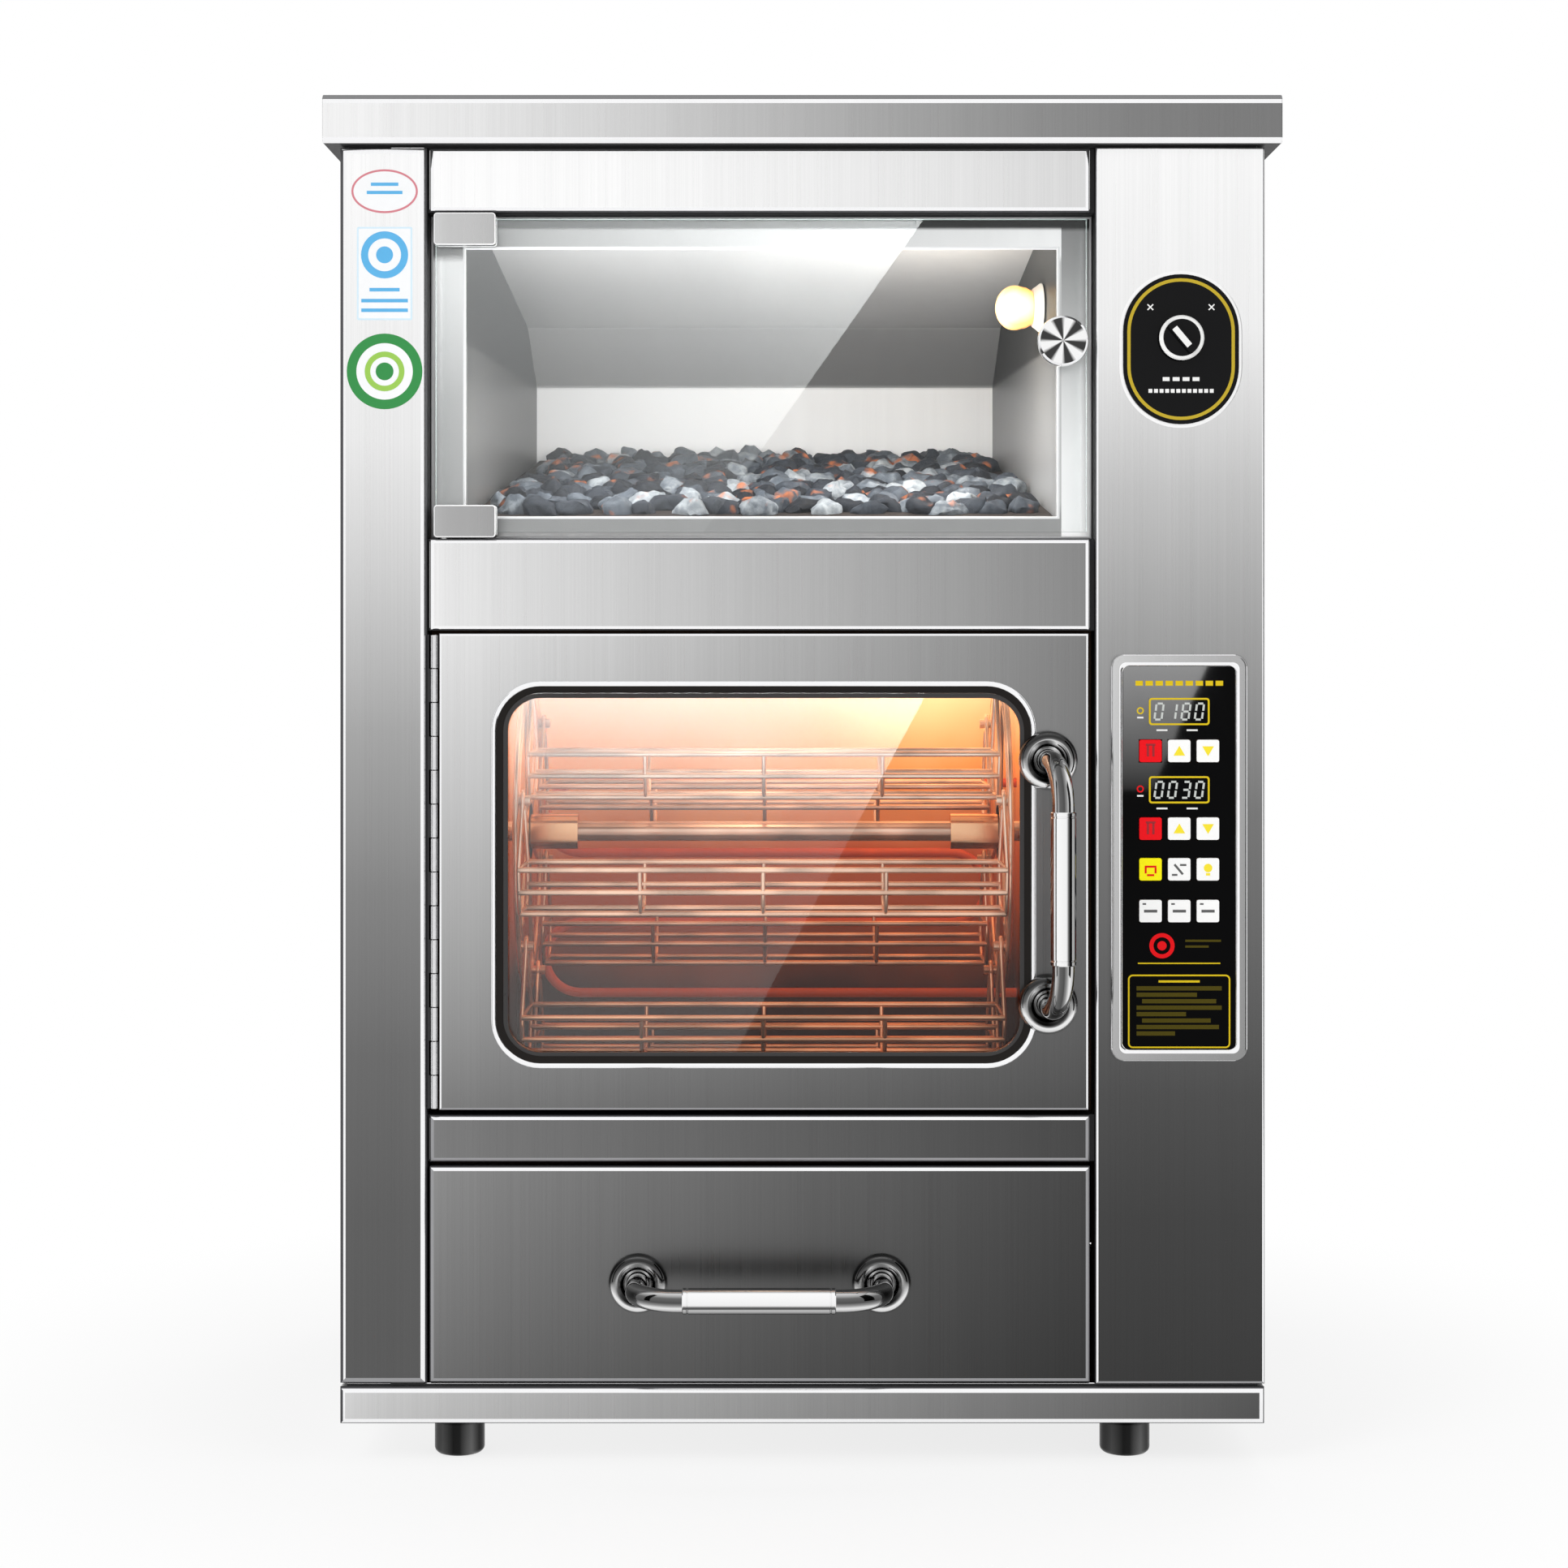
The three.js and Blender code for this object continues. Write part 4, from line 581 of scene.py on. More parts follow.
def rounded_hood():
    """One vent hood, drawn about its own middle: a half dome, open below."""
    bm = bmesh.new()
    lathe(bm, [(3.2, -46), (3.9, -45.4), (4.2, -44.4), (4.2, 44.4), (3.9, 45.4), (3.2, 46),
               (2.6, 45.2), (3.3, 44.2), (3.3, -44.2), (2.6, -45.2), (3.2, -46)],
          (0, 0, 0), "x", 16)
    cut(bm, (0, 0.2, 0), (0, 1, 0), clear_inner=True)
    cut(bm, (0, 0, -1.2), (0, 0, 1), clear_inner=True)
    bmesh.ops.holes_fill(bm, edges=[edge for edge in bm.edges if edge.is_boundary], sides=0)
    bmesh.ops.remove_doubles(bm, verts=bm.verts, dist=0.001)
    return bm


def new_tree(name, *inputs):
    """A Geometry Nodes tree that takes a mesh and the named inputs. It comes with the outputs
    of its input node."""
    tree = bpy.data.node_groups.new(name, "GeometryNodeTree")
    for label, kind in (("Geometry", "Geometry"), *inputs, ("Finish", "Material")):
        tree.interface.new_socket(label, in_out="INPUT", socket_type=f"NodeSocket{kind}")
    tree.interface.new_socket("Geometry", in_out="OUTPUT", socket_type="NodeSocketGeometry")
    return tree, tree.nodes.new("NodeGroupInput").outputs


def end_tree(tree, given, geometry):
    """Ends a tree with real geometry in the finish that it was given."""
    dressed = add(tree, "SetMaterial", {"Geometry": geometry, "Material": given["Finish"]})
    add(tree, "NodeGroupOutput", {"Geometry": dressed})
    return tree


def made_plain(piece, tree, values, body, nodes=(), crease=34):
    """Runs the tree on the piece with its inputs set, and keeps the result as a plain mesh."""
    run = piece.modifiers.new("build", "NODES")
    run.node_group = tree
    for item in tree.interface.items_tree:
        if item.in_out == "INPUT" and item.name in values:
            run[item.identifier] = values[item.name]
    smooth(baked(piece, run), crease)
    return join_row(piece, body, nodes)


def repeated(name, unit, places, made_of, body):
    """Geometry Nodes set a copy of the unit mesh on each place and make one mesh of them."""
    seed = bpy.data.meshes.new(f"{name}_unit")
    unit.transform(Matrix.Scale(0.001, 4))
    bmesh.ops.recalc_face_normals(unit, faces=unit.faces)
    unit.to_mesh(seed)
    unit.free()
    helper = bpy.data.objects.new(f"{name}_unit", seed)
    spots = bpy.data.meshes.new(f"{name}_spots")
    spots.from_pydata([drawing @ Vector(place) for place in places], [], [])
    piece = put(name, spots)
    tree, given = new_tree(f"{name}_repeat", ("Unit", "Object"))
    source = add(tree, "ObjectInfo", {"Object": given["Unit"]})
    spread = add(tree, "InstanceOnPoints", {"Points": given["Geometry"],
                 "Instance": source.outputs["Geometry"]})
    end_tree(tree, given, add(tree, "RealizeInstances", {"Geometry": spread}))
    made_plain(piece, tree, {"Unit": helper, "Finish": made_of}, body)
    bpy.data.objects.remove(helper)


repeated("vent_hoods", rounded_hood(),
         [(x, back_y, 862.4 - row * 18) for x in (-200, 200) for row in range(9)],
         back_steel, "cabinet")
screw_head = bmesh.new()
lathe(screw_head, [(0, 0), (4.0, 0), (4.0, 0.5), (3.6, 1.3), (2.6, 1.9), (1.3, 2.1),
                   (1.3, 1.2), (0, 1.2)], (0, 0, 0), "y", 16)
zinc = finish("zinc_screw", (0.62, 0.62, 0.60), 0.3, 1.0, mottle=0.08, grain=500)
repeated("back_screws", screw_head,
         [(x, back_y, z) for x in (-328, 328) for z in (75, 290, 510, 730, 946)]
         + [(x, back_y, z) for x in (-165, 0, 165) for z in (75, 946)],
         zinc, "cabinet")

# The mains lead would leave through a moulded gland, low on the back. It has a flange, a nut
# and a collar that narrows towards its mouth.
gland_plastic = finish("gland_plastic", (0.02, 0.02, 0.022), 0.35, mottle=0.1)
turned("lead_gland", [(5, -8), (9.5, -8), (9.5, 0.3), (15.4, 0.3), (16, 0.9), (16, 3.6),
       (15.4, 4.3), (12, 4.3), (12, 11), (11.4, 12.3), (8.6, 16.2), (7, 16.3), (5, 15.6),
       (5, -8)], (280, back_y, 110), "y", 40, gland_plastic, "cabinet",
       ["cable_gland"])

# The display case is lined with bright folded sheet: a frame round its mouth, splayed walls and
# a sloped hood, all caught by the case lamp, with painted light and shade in their greys.
def case_finish():
    """Satin sheet with painted light and shade: paler on the hood and the low back, and painted
    darker on the splayed walls.
    """
    look = Look(brushed("case_lining", (-274, 214), (684, 818, 822, 864, 868, 905),
                        (240, 240, 150, 160, 170, 175), (240, 240, 136, 156, 178, 218), 0.4,
                        0.08))
    tone = look.shader.inputs["Base Color"].links[0].from_socket
    aside, height = look.facing("X"), look.along("Z")
    left = look.ranged(height, 0.71, 0.87, 0.23, 0.02)
    right = look.ranged(height, 0.71, 0.87, 0.50, 0.08)
    share = look.ranged(aside, -0.95, -0.5, right, 1.0)
    share = look.ranged(aside, 0.5, 0.95, share, left)
    return look.wear({"Base Color": look.scaled(tone, share), "Metallic": 0.35})


right_frame = 0.191
bm = cad_form("display_liner")
front = min(vert.co.y for vert in bm.verts)
paint(bm, 1, lambda normal, middle: normal.y < -squarely and middle.y < front + 0.001)
soften(bm, 2.2, lambda face: face.material_index == 1, material=2)
# A pale finish for the frame's rounded edges: a painted highlight.
case_fold_highlight = finish("case_fold_highlight", (0.78, 0.78, 0.79), 0.45, 0.2, mottle=0.04, grain=80)
cut(bm, (right_frame, 0, 0), (1, 0, 0))
paint(bm, 3, lambda normal, middle: middle.x > right_frame, 1)
# The frame's and the stile's greys are painted light and shade, dark along their tops under the
# rail.
case_frame = brushed("case_frame", (-274, 214),
                     (676, 694, 704, 780, 860, 880, 886, 904, 906, 914),
                     (164, 164, 172, 184, 228, 232, 110, 100, 20, 20),
                     (160, 160, 200, 200, 200, 200, 252, 252, 50, 50), 0.35, 0.06)
case_stile = brushed("case_stile", (190, 214), (676, 737, 775, 873, 903, 906, 914),
                     (255, 250, 232, 158, 140, 50, 50), None, 0.35, 0.06)
settle("case_lining", bm, [case_finish(), case_frame, case_fold_highlight, case_stile], "cabinet",
       ["display_liner"], 20)

# The bed is a raked heap of dark river stones on a blackened tray. The glow of the heat shows
# between them.
def stone_finish():
    look = Look("river_stone")
    own = add(look.tree, "Attribute", attribute_name="stone_shade").outputs["Fac"]
    blend = look.line(look.noise(160.0, 3.0), 0.36, own)
    tone = look.ramp(blend, [(0.20, (0.012, 0.014, 0.019)), (0.45, (0.035, 0.042, 0.055)),
                             (0.68, (0.11, 0.13, 0.155)), (0.86, (0.40, 0.43, 0.45))])
    warm = look.ranged(look.noise(46.0), 0.61, 0.70, 0.0, 0.8)
    fleck = look.noise(900.0, 4.0)
    return look.wear({"Base Color": look.mix(warm, tone, (0.55, 0.16, 0.045, 1)),
                      "Roughness": look.line(fleck, 0.4, 0.35),
                      "Normal": look.bump(fleck, 0.5, 0.0006)})


def stone_heap():
    tree, given = new_tree("stone_heap", ("Spacing", "Float"), ("Density", "Float"),
                           ("Roughness", "Float"), ("Seed", "Int"))

    def drawn(low, high, seed, kind="FLOAT_VECTOR"):
        """A random value for each stone."""
        keys = (0, 1) if kind == "FLOAT_VECTOR" else ("Min", "Max")
        return add(tree, "FunctionNodeRandomValue", {keys[0]: low, keys[1]: high,
                   "Seed": seed}, data_type=kind).outputs

    spots = add(tree, "DistributePointsOnFaces", {"Mesh": given["Geometry"],
                "Distance Min": given["Spacing"], "Density Max": given["Density"],
                "Seed": given["Seed"]}, distribute_method="POISSON")
    size = drawn((0.0100, 0.0080, 0.0070), (0.0175, 0.0125, 0.0105), 3)["Value"]
    turn = drawn((-0.35, -0.35, -0.9), (0.35, 0.35, 0.9), 5)["Value"]
    ball = add(tree, "MeshIcoSphere", {"Radius": 1.0, "Subdivisions": 3})
    heap = add(tree, "InstanceOnPoints", {"Points": spots.outputs["Points"],
               "Instance": ball.outputs["Mesh"], "Rotation": turn, "Scale": size})
    heap = add(tree, "StoreNamedAttribute", {"Geometry": heap,
               "Name": "stone_shade", "Value": drawn(0.0, 0.64, 9, "FLOAT")[1]},
               data_type="FLOAT", domain="INSTANCE")
    real = add(tree, "RealizeInstances", {"Geometry": heap})
    lump = add(tree, "ShaderNodeTexNoise", {"Scale": 95.0, "Detail": 1.0})
    push = add(tree, "ShaderNodeVectorMath", {0: lump.outputs["Color"],
               1: (-0.5, -0.5, -0.5)}, operation="ADD")
    push = add(tree, "ShaderNodeVectorMath", {0: push, "Scale": given["Roughness"]},
               operation="SCALE")
    end_tree(tree, given, add(tree, "SetPosition", {"Geometry": real, "Offset": push}))
    slope = bpy.data.meshes.new("stone_heap")
    corners = [(-230, 42, 697.5), (170, 42, 697.5), (152, 384, 757), (-211, 384, 757)]
    slope.from_pydata([drawing @ Vector(spot) for spot in corners], [], [(0, 1, 2, 3)])
    made_plain(put("river_stones", slope), tree, {"Spacing": 0.0150, "Density": 7000.0,
               "Roughness": 0.013, "Seed": 11, "Finish": stone_finish()}, "cabinet",
               ["stone_bed"], crease=60)


stone_heap()
bm = bmesh.new()
foot = [(-246, 25.5), (186, 25.5), (163.5, 398.5), (-223.5, 398.5)]
verts = [bm.verts.new((x, y, 684.6)) for x, y in foot]
verts += [bm.verts.new((x, y, 693 if y < 100 else 757)) for x, y in foot]
for loop in ((0, 1, 2, 3), (4, 5, 6, 7), (0, 1, 5, 4), (1, 2, 6, 5), (2, 3, 7, 6), (3, 0, 4, 7)):
    bm.faces.new([verts[i] for i in loop])
blackened = finish("blackened_tray", (0.035, 0.026, 0.022), 0.8, mottle=0.5, grain=90, bump=0.4)
settle("stone_tray", to_row(bm), [blackened], "cabinet")

# The case lamp is a small globe in a white ceramic base on the right wall. Its glow falls from
# a white front to an amber rim.
ceramic = finish("lamp_ceramic", (0.86, 0.82, 0.74), 0.3, mottle=0.04)
bulb_glow = Look(finish("bulb_glow", (1.0, 0.62, 0.22), 0.15, glow=1.3, mottle=0.45, grain=55))
bulb_glow.wear({"Emission Color": bulb_glow.ramp(
    bulb_glow.ranged(bulb_glow.facing("Y"), -0.05, -0.95),
    [(0.0, (0.58, 0.15, 0.02)), (0.6, (0.95, 0.52, 0.14)), (1.0, (1.0, 0.93, 0.72))])})


def lamp_pieces():
    """Both parts are turned about a line square to the splayed wall."""
    wall_run, wall_rise = 376, 21.5
    lean = atan2(wall_rise, wall_run)
    place = (187.7 - wall_rise * (97 - 24) / wall_run, 97, 855)
    aim = Vector((-cos(lean), -sin(lean), 0))
    stand = Matrix.Translation(place) @ aim.to_track_quat("Z", "Y").to_matrix().to_4x4()
    base = [(0, 0.3), (17.5, 0.3), (18.9, 1.1), (18.6, 2.4), (16.2, 5.2), (15, 7.2),
            (14.2, 8), (0, 8)]
    globe = [(0, 8.3), (12.6, 8.3), (13.4, 9.4), (15.4, 13)]
    globe += [(17 * cos(turn), 21.5 + 14.5 * sin(turn))
              for turn in (radians(step) for step in range(-20, 90, 10))]
    for name, outline, made_of, slot, node in (
            ("lamp_base", base, ceramic, "ceramic", "lamp_holder"),
            ("lamp_globe", globe + [(0, 36)], bulb_glow.made, "lamp", "lamp_bulb")):
        bm = bmesh.new()
        lathe(bm, outline, (0, 0, 0), "z")
        bm.transform(stand)
        settle(name, to_row(bm), [made_of], "cabinet", [node])


lamp_pieces()


def inner_lamp(name, place, colour, watts, size=0.05):
    lamp(name, "POINT", drawing @ Vector(place), watts, color=colour, shadow_soft_size=size)


inner_lamp("case_light", (112, 85, 845), (1.0, 0.90, 0.74), 0.38, 0.02)
inner_lamp("case_fill_left", (-150, 40, 780), (1.0, 0.99, 0.98), 1.85, 0.12)
inner_lamp("case_fill_right", (80, 40, 780), (1.0, 0.99, 0.98), 1.95, 0.12)

# The glass pane is a frameless leaf of clear glass with polished edges. It turns on two metal
# clamps at its left corners and has a chromed knob bolted through it.
def glass_finish(name, tint, gloss):
    """Clear thin glass: what is behind shows through, and each face mirrors more the flatter
    it is seen. gloss is the refractive index that the mirroring is worked out from."""
    look = Look(name)
    look.wear({"Base Color": (0.9, 0.93, 0.93, 1), "Roughness": 0.003, "Metallic": 1.0})
    least = ((gloss - 1) / (gloss + 1)) ** 2
    facing = add(look.tree, "LayerWeight", {"Blend": 0.5}).outputs["Facing"]
    mirrored = look.line(look.math("POWER", facing, 5.0), 1 - least, least)
    share = look.line(look.noise(9.0), 0.005, mirrored)
    clear = add(look.tree, "BsdfTransparent", {"Color": tint})
    pane = add(look.tree, "MixShader", {0: share, 1: clear, 2: look.shader})
    feed(look.tree.nodes["Material Output"], {"Surface": pane})
    return look.made


clear_glass = glass_finish("clear_glass", (0.992, 0.995, 0.995, 1), 1.25)
glass_edge = finish("glass_edge", (0.55, 0.66, 0.64), 0.2, mottle=0.1)
reached = bpy.data.collections.new("glare_reached")


def glass_leaf(name, node, body, corner=0.4):
    bm = cad_form(node)
    paint(bm, 1, lambda normal, middle: abs(normal.y) < squarely)
    soften(bm, corner, lambda face: abs(face.normal.y) > squarely, 60, 1, 1)
    reached.objects.link(settle(name, bm, [clear_glass, glass_edge], body, [node]))


glass_leaf("pane_glass", "glass_pane", "display_door", 1.3)


def square_up(bm, west, east, foot, head, was, now):
    """Gives the corners of a rounded block a smaller radius."""
    corners = [(x, z, right, up) for x, right in ((west, -1), (east, 1))
               for z, up in ((foot, -1), (head, 1))]
    for vert in bm.verts:
        for x, z, right, up in corners:
            corner, inward = Vector((x, 0, z)), Vector((-right, 0, -up))
            reach = vert.co - (corner + inward * was)
            reach.y = 0
            outside = reach.x * right > -1e-6 and reach.z * up > -1e-6
            if outside and abs(reach.length - was) < 2e-4:
                moved = corner + inward * now + reach * (now / was)
                vert.co.x, vert.co.z = moved.x, moved.z


# A pale finish for the clamps' front edges, a painted highlight; their grey is painted light too.
clamp_fold_highlight = finish("clamp_fold_highlight", (0.95, 0.95, 0.95), 0.4, 0.2, mottle=0.03, grain=80)
for name, node, level in (("clamp_top", "upper_clamp", 206), ("clamp_foot", "lower_clamp", 180)):
    bm = cad_form(node)
    front = min(vert.co.y for vert in bm.verts)
    cheeks = [vert.co for vert in bm.verts if vert.co.y < front + 1e-4]
    across, upright = [co.x for co in cheeks], [co.z for co in cheeks]
    square_up(bm, min(across), max(across), min(upright), max(upright), 0.005, 0.0025)
    soften(bm, 1.8, lambda face: face.normal.y < -squarely, material=1)
    clamp_steel = brushed(f"{name}_steel", (-270, -224), (668, 922), (level, level),
                          (level - 16, level - 16), 0.25, 0.06)
    settle(name, bm, [clamp_steel, clamp_fold_highlight], "display_door", [node])

chrome = finish("chrome", (0.90, 0.90, 0.91), 0.07, 1.0, mottle=0.03, grain=30, bump=0.01)


def copied(made, name):
    made = made.copy()
    made.name = name
    return Look(made)


def knob_on_pane():
    """A turned knob with a radially spun face, a neck, and a nut with a washer behind."""
    x, y, z = 189, 4.7, 819
    bm = bmesh.new()
    lathe(bm, [(0, -20.6), (3, -20.9), (8, -20.9), (9, -20.5), (14.6, -20.5), (16.6, -20.2),
               (18.1, -18.8), (18.5, -17), (18.5, -12.8), (18.0, -11), (16.4, -9.7),
               (9.4, -9.0), (8.2, -8.2), (8, -7), (8, -0.1), (4, 0), (4, 6.6), (10, 6.6),
               (10, 8.9), (9.4, 9.6), (5.6, 9.6), (5.2, 10), (4.6, 10.2), (0, 10.2)],
          (x, y, z), "y", 64)
    spun = copied(chrome, "spun_chrome")
    centred = add(spun.tree, "Mapping", {"Vector": spun.where(),
                  "Location": (-x / 1000, 0.0, -z / 1000)})
    around = add(spun.tree, "SeparateXYZ", {0: centred}).outputs
    # Six bright and six dark rays painted into the face's colour: a painted reflection.
    rays = spun.math("MULTIPLY", spun.math("ARCTAN2", around["Z"], around["X"]), 6.0)
    tone = spun.ranged(spun.math("SINE", rays), -0.5, 0.5, 0.05, 0.92)
    spun.wear({"Base Color": add(spun.tree, "CombineColor", dict.fromkeys(range(3), tone))})
    spun_depth = 20.3
    paint(bm, 1, lambda normal, middle: middle.y < y - spun_depth)
    settle("knob_turned", to_row(bm), [chrome, spun.made], "display_door",
           ["pane_knob"])


knob_on_pane()

# The oven is lined with satin sheet, painted with the glow of the heater at its back: deep
# orange low down and paler towards the top. The paint also gives off a little light of its own.
def oven_finish():
    look = Look("oven_sheet_painted_glow")
    spread = look.line(look.noise(7.0, 3.0), 0.10, look.along("Z"))
    tint = look.ramp(look.ranged(spread, 0.27, 0.67), [
        (0.0, (0.012, 0.003, 0.001)), (0.20, (0.050, 0.010, 0.003)),
        (0.36, (0.36, 0.068, 0.017)), (0.50, (0.48, 0.105, 0.026)),
        (0.68, (0.80, 0.37, 0.13)), (0.90, (0.92, 0.74, 0.58))])
    grain = look.noise(1.0, stretch=(500, 500, 3))
    return look.wear({"Base Color": tint, "Emission Color": tint, "Emission Strength": 0.22,
                      "Roughness": look.line(grain, 0.25, 0.28),
                      "Metallic": 0.25})


bm = cad_form("oven_liner")
low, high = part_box("oven_liner")
flange_depth, flange_width = 0.0022, 0.012
# The front flange and the strips along the liner's sides are painted dark brown: painted shade.
paint(bm, 1, lambda normal, middle: middle.y < low.y + flange_depth
      or middle.x < low.x + flange_width or middle.x > high.x - flange_width)
soften(bm, 0.5, lambda face: face.normal.y < -squarely, material=1, segments=1)
liner_edge_shade = finish("liner_edge_shade", (0.060, 0.035, 0.022), 0.5, 0.8, mottle=0.1, grain=60)
settle("oven_lining", bm, [oven_finish(), liner_edge_shade], "cabinet", ["oven_liner"])


# The heater is one bent tube behind the carousel, glowing dull orange. It and everything made
# of round wire follow their own paths: Geometry Nodes sweep a round section along each.
def swept_tree():
    tree, given = new_tree("round_section", ("Radius", "Float"), ("Sides", "Int"))
    path = add(tree, "MeshToCurve", {"Mesh": given["Geometry"]})
    ring = add(tree, "CurvePrimitiveCircle", {"Resolution": given["Sides"],
               "Radius": given["Radius"]})
    swept = add(tree, "CurveToMesh", {"Curve": path, "Profile Curve": ring, "Fill Caps": True})
    return end_tree(tree, given, add(tree, "RealizeInstances", {"Geometry": swept}))


round_section = swept_tree()


def wires(name, paths, diameter, made_of, body, nodes=(), sides=12):
    """One piece of round wires. A path whose last point repeats its first is a closed ring."""
    points, edges = [], []
    for path in paths:
        closed = (Vector(path[0]) - Vector(path[-1])).length < 1e-6
        spots = path[:-1] if closed else path
        first = len(points)
        points += [drawing @ Vector(spot) for spot in spots]
        edges += [(first + i, first + i + 1) for i in range(len(spots) - 1)]
        if closed:
            edges.append((first + len(spots) - 1, first))
    mesh = bpy.data.meshes.new(name)
    mesh.from_pydata(points, edges, [])
    made_plain(put(name, mesh), round_section, {"Radius": diameter / 2000, "Sides": sides,
               "Finish": made_of}, body, nodes, crease=60)


def arc(centre, radius, start, end, steps, plane="yz"):
    """Points on an arc about a centre, in degrees, in the plane of two axes."""
    x, y, z = centre
    spots = []
    for step in range(steps + 1):
        turn = radians(start + (end - start) * step / steps)
        u, v = radius * cos(turn), radius * sin(turn)
        spots.append((x, y + u, z + v) if plane == "yz" else (x + u, y, z + v))
    return spots


heater_glow = finish("heater_glow", (0.42, 0.05, 0.012), 0.5, mottle=0.3, grain=40, glow=0.25)
run = [(200, 388, 300)]
for bend, height, end in ((-188, 330, -270), (130, 390, 90), (-188, 450, -270)):
    run += arc((bend, 388, height), 30, -90, end, 16, "xz")
wires("heater_tube", [run + [(200, 388, 480)]], 8, heater_glow, "cabinet",
      ["heating_element"], 16)

# The gearmotor sits outside the lining, on the end of the axle. It is a cast case in dark
# enamel.
enamel = finish("motor_enamel", (0.10, 0.13, 0.17), 0.4, mottle=0.15, grain=300, bump=0.15)
bm = cad_form("gearmotor")
soften(bm, 1.0, lambda face: True, 50)
settle("motor_body", bm, [enamel], "cabinet", ["gearmotor"])

# The carousel: an axle, two spoked end wheels with square hub blocks and pins, and six wire
# baskets that hang from the pins. All are chromed, pale at the top and copper low down, in
# patches, from the glow of the oven.
oven_chrome = Look(finish("oven_chrome", (0.95, 0.80, 0.70), 0.17, 0.72, mottle=0.05, grain=60,
                          bump=0.02))
oven_chrome.wear({"Base Color": oven_chrome.scaled(
    oven_chrome.ramp(oven_chrome.ranged(oven_chrome.along("Z"), 0.30, 0.58), [
        (0.0, (0.80, 0.38, 0.20)), (0.5, (0.98, 0.66, 0.50)), (1.0, (1.0, 0.88, 0.80))]),
    oven_chrome.ranged(oven_chrome.noise(17.0), 0.40, 0.60, 0.62, 1.1))})
oven_chrome = oven_chrome.made
hub_bronze = finish("hub_bronze", (0.90, 0.52, 0.30), 0.2, 1.0, mottle=0.08, grain=60)
middle_x, axle_y, axle_z = -29, 205, 450
wheel_out, frame_out, pin_reach = 187.5, 182.5, 118
block_least, block_corner, block_most, block_depth = 0.012, 0.0215, 0.024, 0.02
axle = Vector((0, (axle_y - front_y) / 1000, axle_z / 1000))
turned("carousel_axle", [(0, -229), (7, -229), (8, -228), (8, 237.3), (7, 238.3), (0, 238.3)],
       (middle_x, axle_y, axle_z), "x", 32, oven_chrome, "carousel",
       ["wheel_axle"])


def from_axle(spot):
    return hypot(spot.y - axle.y, spot.z - axle.z)


for side, node in ((-1, "left_wheel"), (1, "right_wheel")):
    bm = cad_form(node)
    block_edges = [edge for edge in bm.edges if edge.calc_length() > block_depth
                   and all(block_least < from_axle(vert.co) < block_corner
                           for vert in edge.verts)
                   and abs(edge.verts[0].co.x - edge.verts[1].co.x) > block_depth]
    round_edges(bm, block_edges, 9, segments=4)
    paint(bm, 1, lambda normal, middle: from_axle(middle) < block_most)
    soften(bm, 0.7, lambda face: abs(face.normal.x) > squarely, 50)
    settle(f"{node}_pressed", bm, [oven_chrome, hub_bronze], "carousel", [node], 30)
    outer_x = middle_x + side * wheel_out
    wires(f"{node}_rings", [arc((outer_x, axle_y, axle_z), radius, 0, 360, 72)
                            for radius in (126.2, 110)], 4.2, oven_chrome, "carousel")
    turned(f"{node}_boss", [(8.5, 0), (22, 0), (24, 1.2), (24, 3.2), (22.6, 4.4), (8.5, 4.4),
           (8.5, 0)], (outer_x - side * 1.5, axle_y, axle_z), "x" if side > 0 else "-x", 40,
           oven_chrome, "carousel")


def basket(number):
    """End frames with an eye round each pin, hoops, and long rods."""
    turn = radians(15 + 60 * number)
    pin_y, pin_z = axle_y - cos(turn) * pin_reach, axle_z + sin(turn) * pin_reach
    body = f"basket_{number + 1}"
    trough = [(-42, -50), (-38, -67), (-30, -80), (-26, -84), (26, -84), (30, -80), (38, -67),
              (42, -50)]

    def across(x):
        return [(x, pin_y + u, pin_z + v) for u, v in trough]

    west, east = middle_x - frame_out, middle_x + frame_out
    paths = []
    for x in (west, east):
        sides = across(x)
        crown = arc((x, pin_y, pin_z), 6.6, 205, -25, 14)
        paths += [sides[:1] + crown + sides[:0:-1] + sides[:1],
                  arc((x, pin_y, pin_z), 6.2, 0, 360, 20), [sides[0], sides[-1]]]
    paths += [across(middle_x + out) for out in (-92, 0, 92)]
    wires(f"{body}_frames", paths, 3.4, oven_chrome, body, nodes=[body])
    rods = [[(west, pin_y + u, pin_z + v), (east, pin_y + u, pin_z + v)]
            for u, v in ((-42, -50), (42, -50), (-38, -67), (38, -67), (-26, -84), (26, -84))]
    wires(f"{body}_rods", rods, 4.4, oven_chrome, body)


for number in range(6):
    basket(number)

inner_lamp("oven_light_top", (middle_x, 120, 600), (1.0, 0.82, 0.68), 0.54)
inner_lamp("oven_light_low", (60, 90, 290), (1.0, 0.38, 0.12), 0.12)
inner_lamp("oven_light_back", (110, 330, 560), (1.0, 0.58, 0.24), 0.50)

# The oven door is a brushed skin on a folded inner pan, with the window glass held between
# them, a bright pressed trim round the window and a woven seal at the back.
# The door's grey is painted light and shade, paler high on the left and darker to the right.
door_steel = brushed("door_steel", (-265, 209), (259, 433, 607), (126, 186, 234),
                     (80, 118, 130))
hinge_edge = -0.2655
# The skin's faces at the hinge edge are painted in shade, as the gap beside the hinge.
sheet_piece("door_skin", "door_panel", "oven_door", door_steel,
            lambda normal, middle, front: middle.x < hinge_edge, front=3.6, rest=0)
pan_finish = finish("inner_pan_satin", (0.42, 0.40, 0.37), 0.35, 1.0, mottle=0.12, grain=40)
bm = cad_form("door_inner_pan")
soften(bm, 0.5, lambda face: abs(face.normal.y) > squarely, 50, segments=1)
settle("door_pan", bm, [pan_finish], "oven_door", ["door_inner_pan"])
glass_leaf("window_pane", "window_glass", "oven_door")


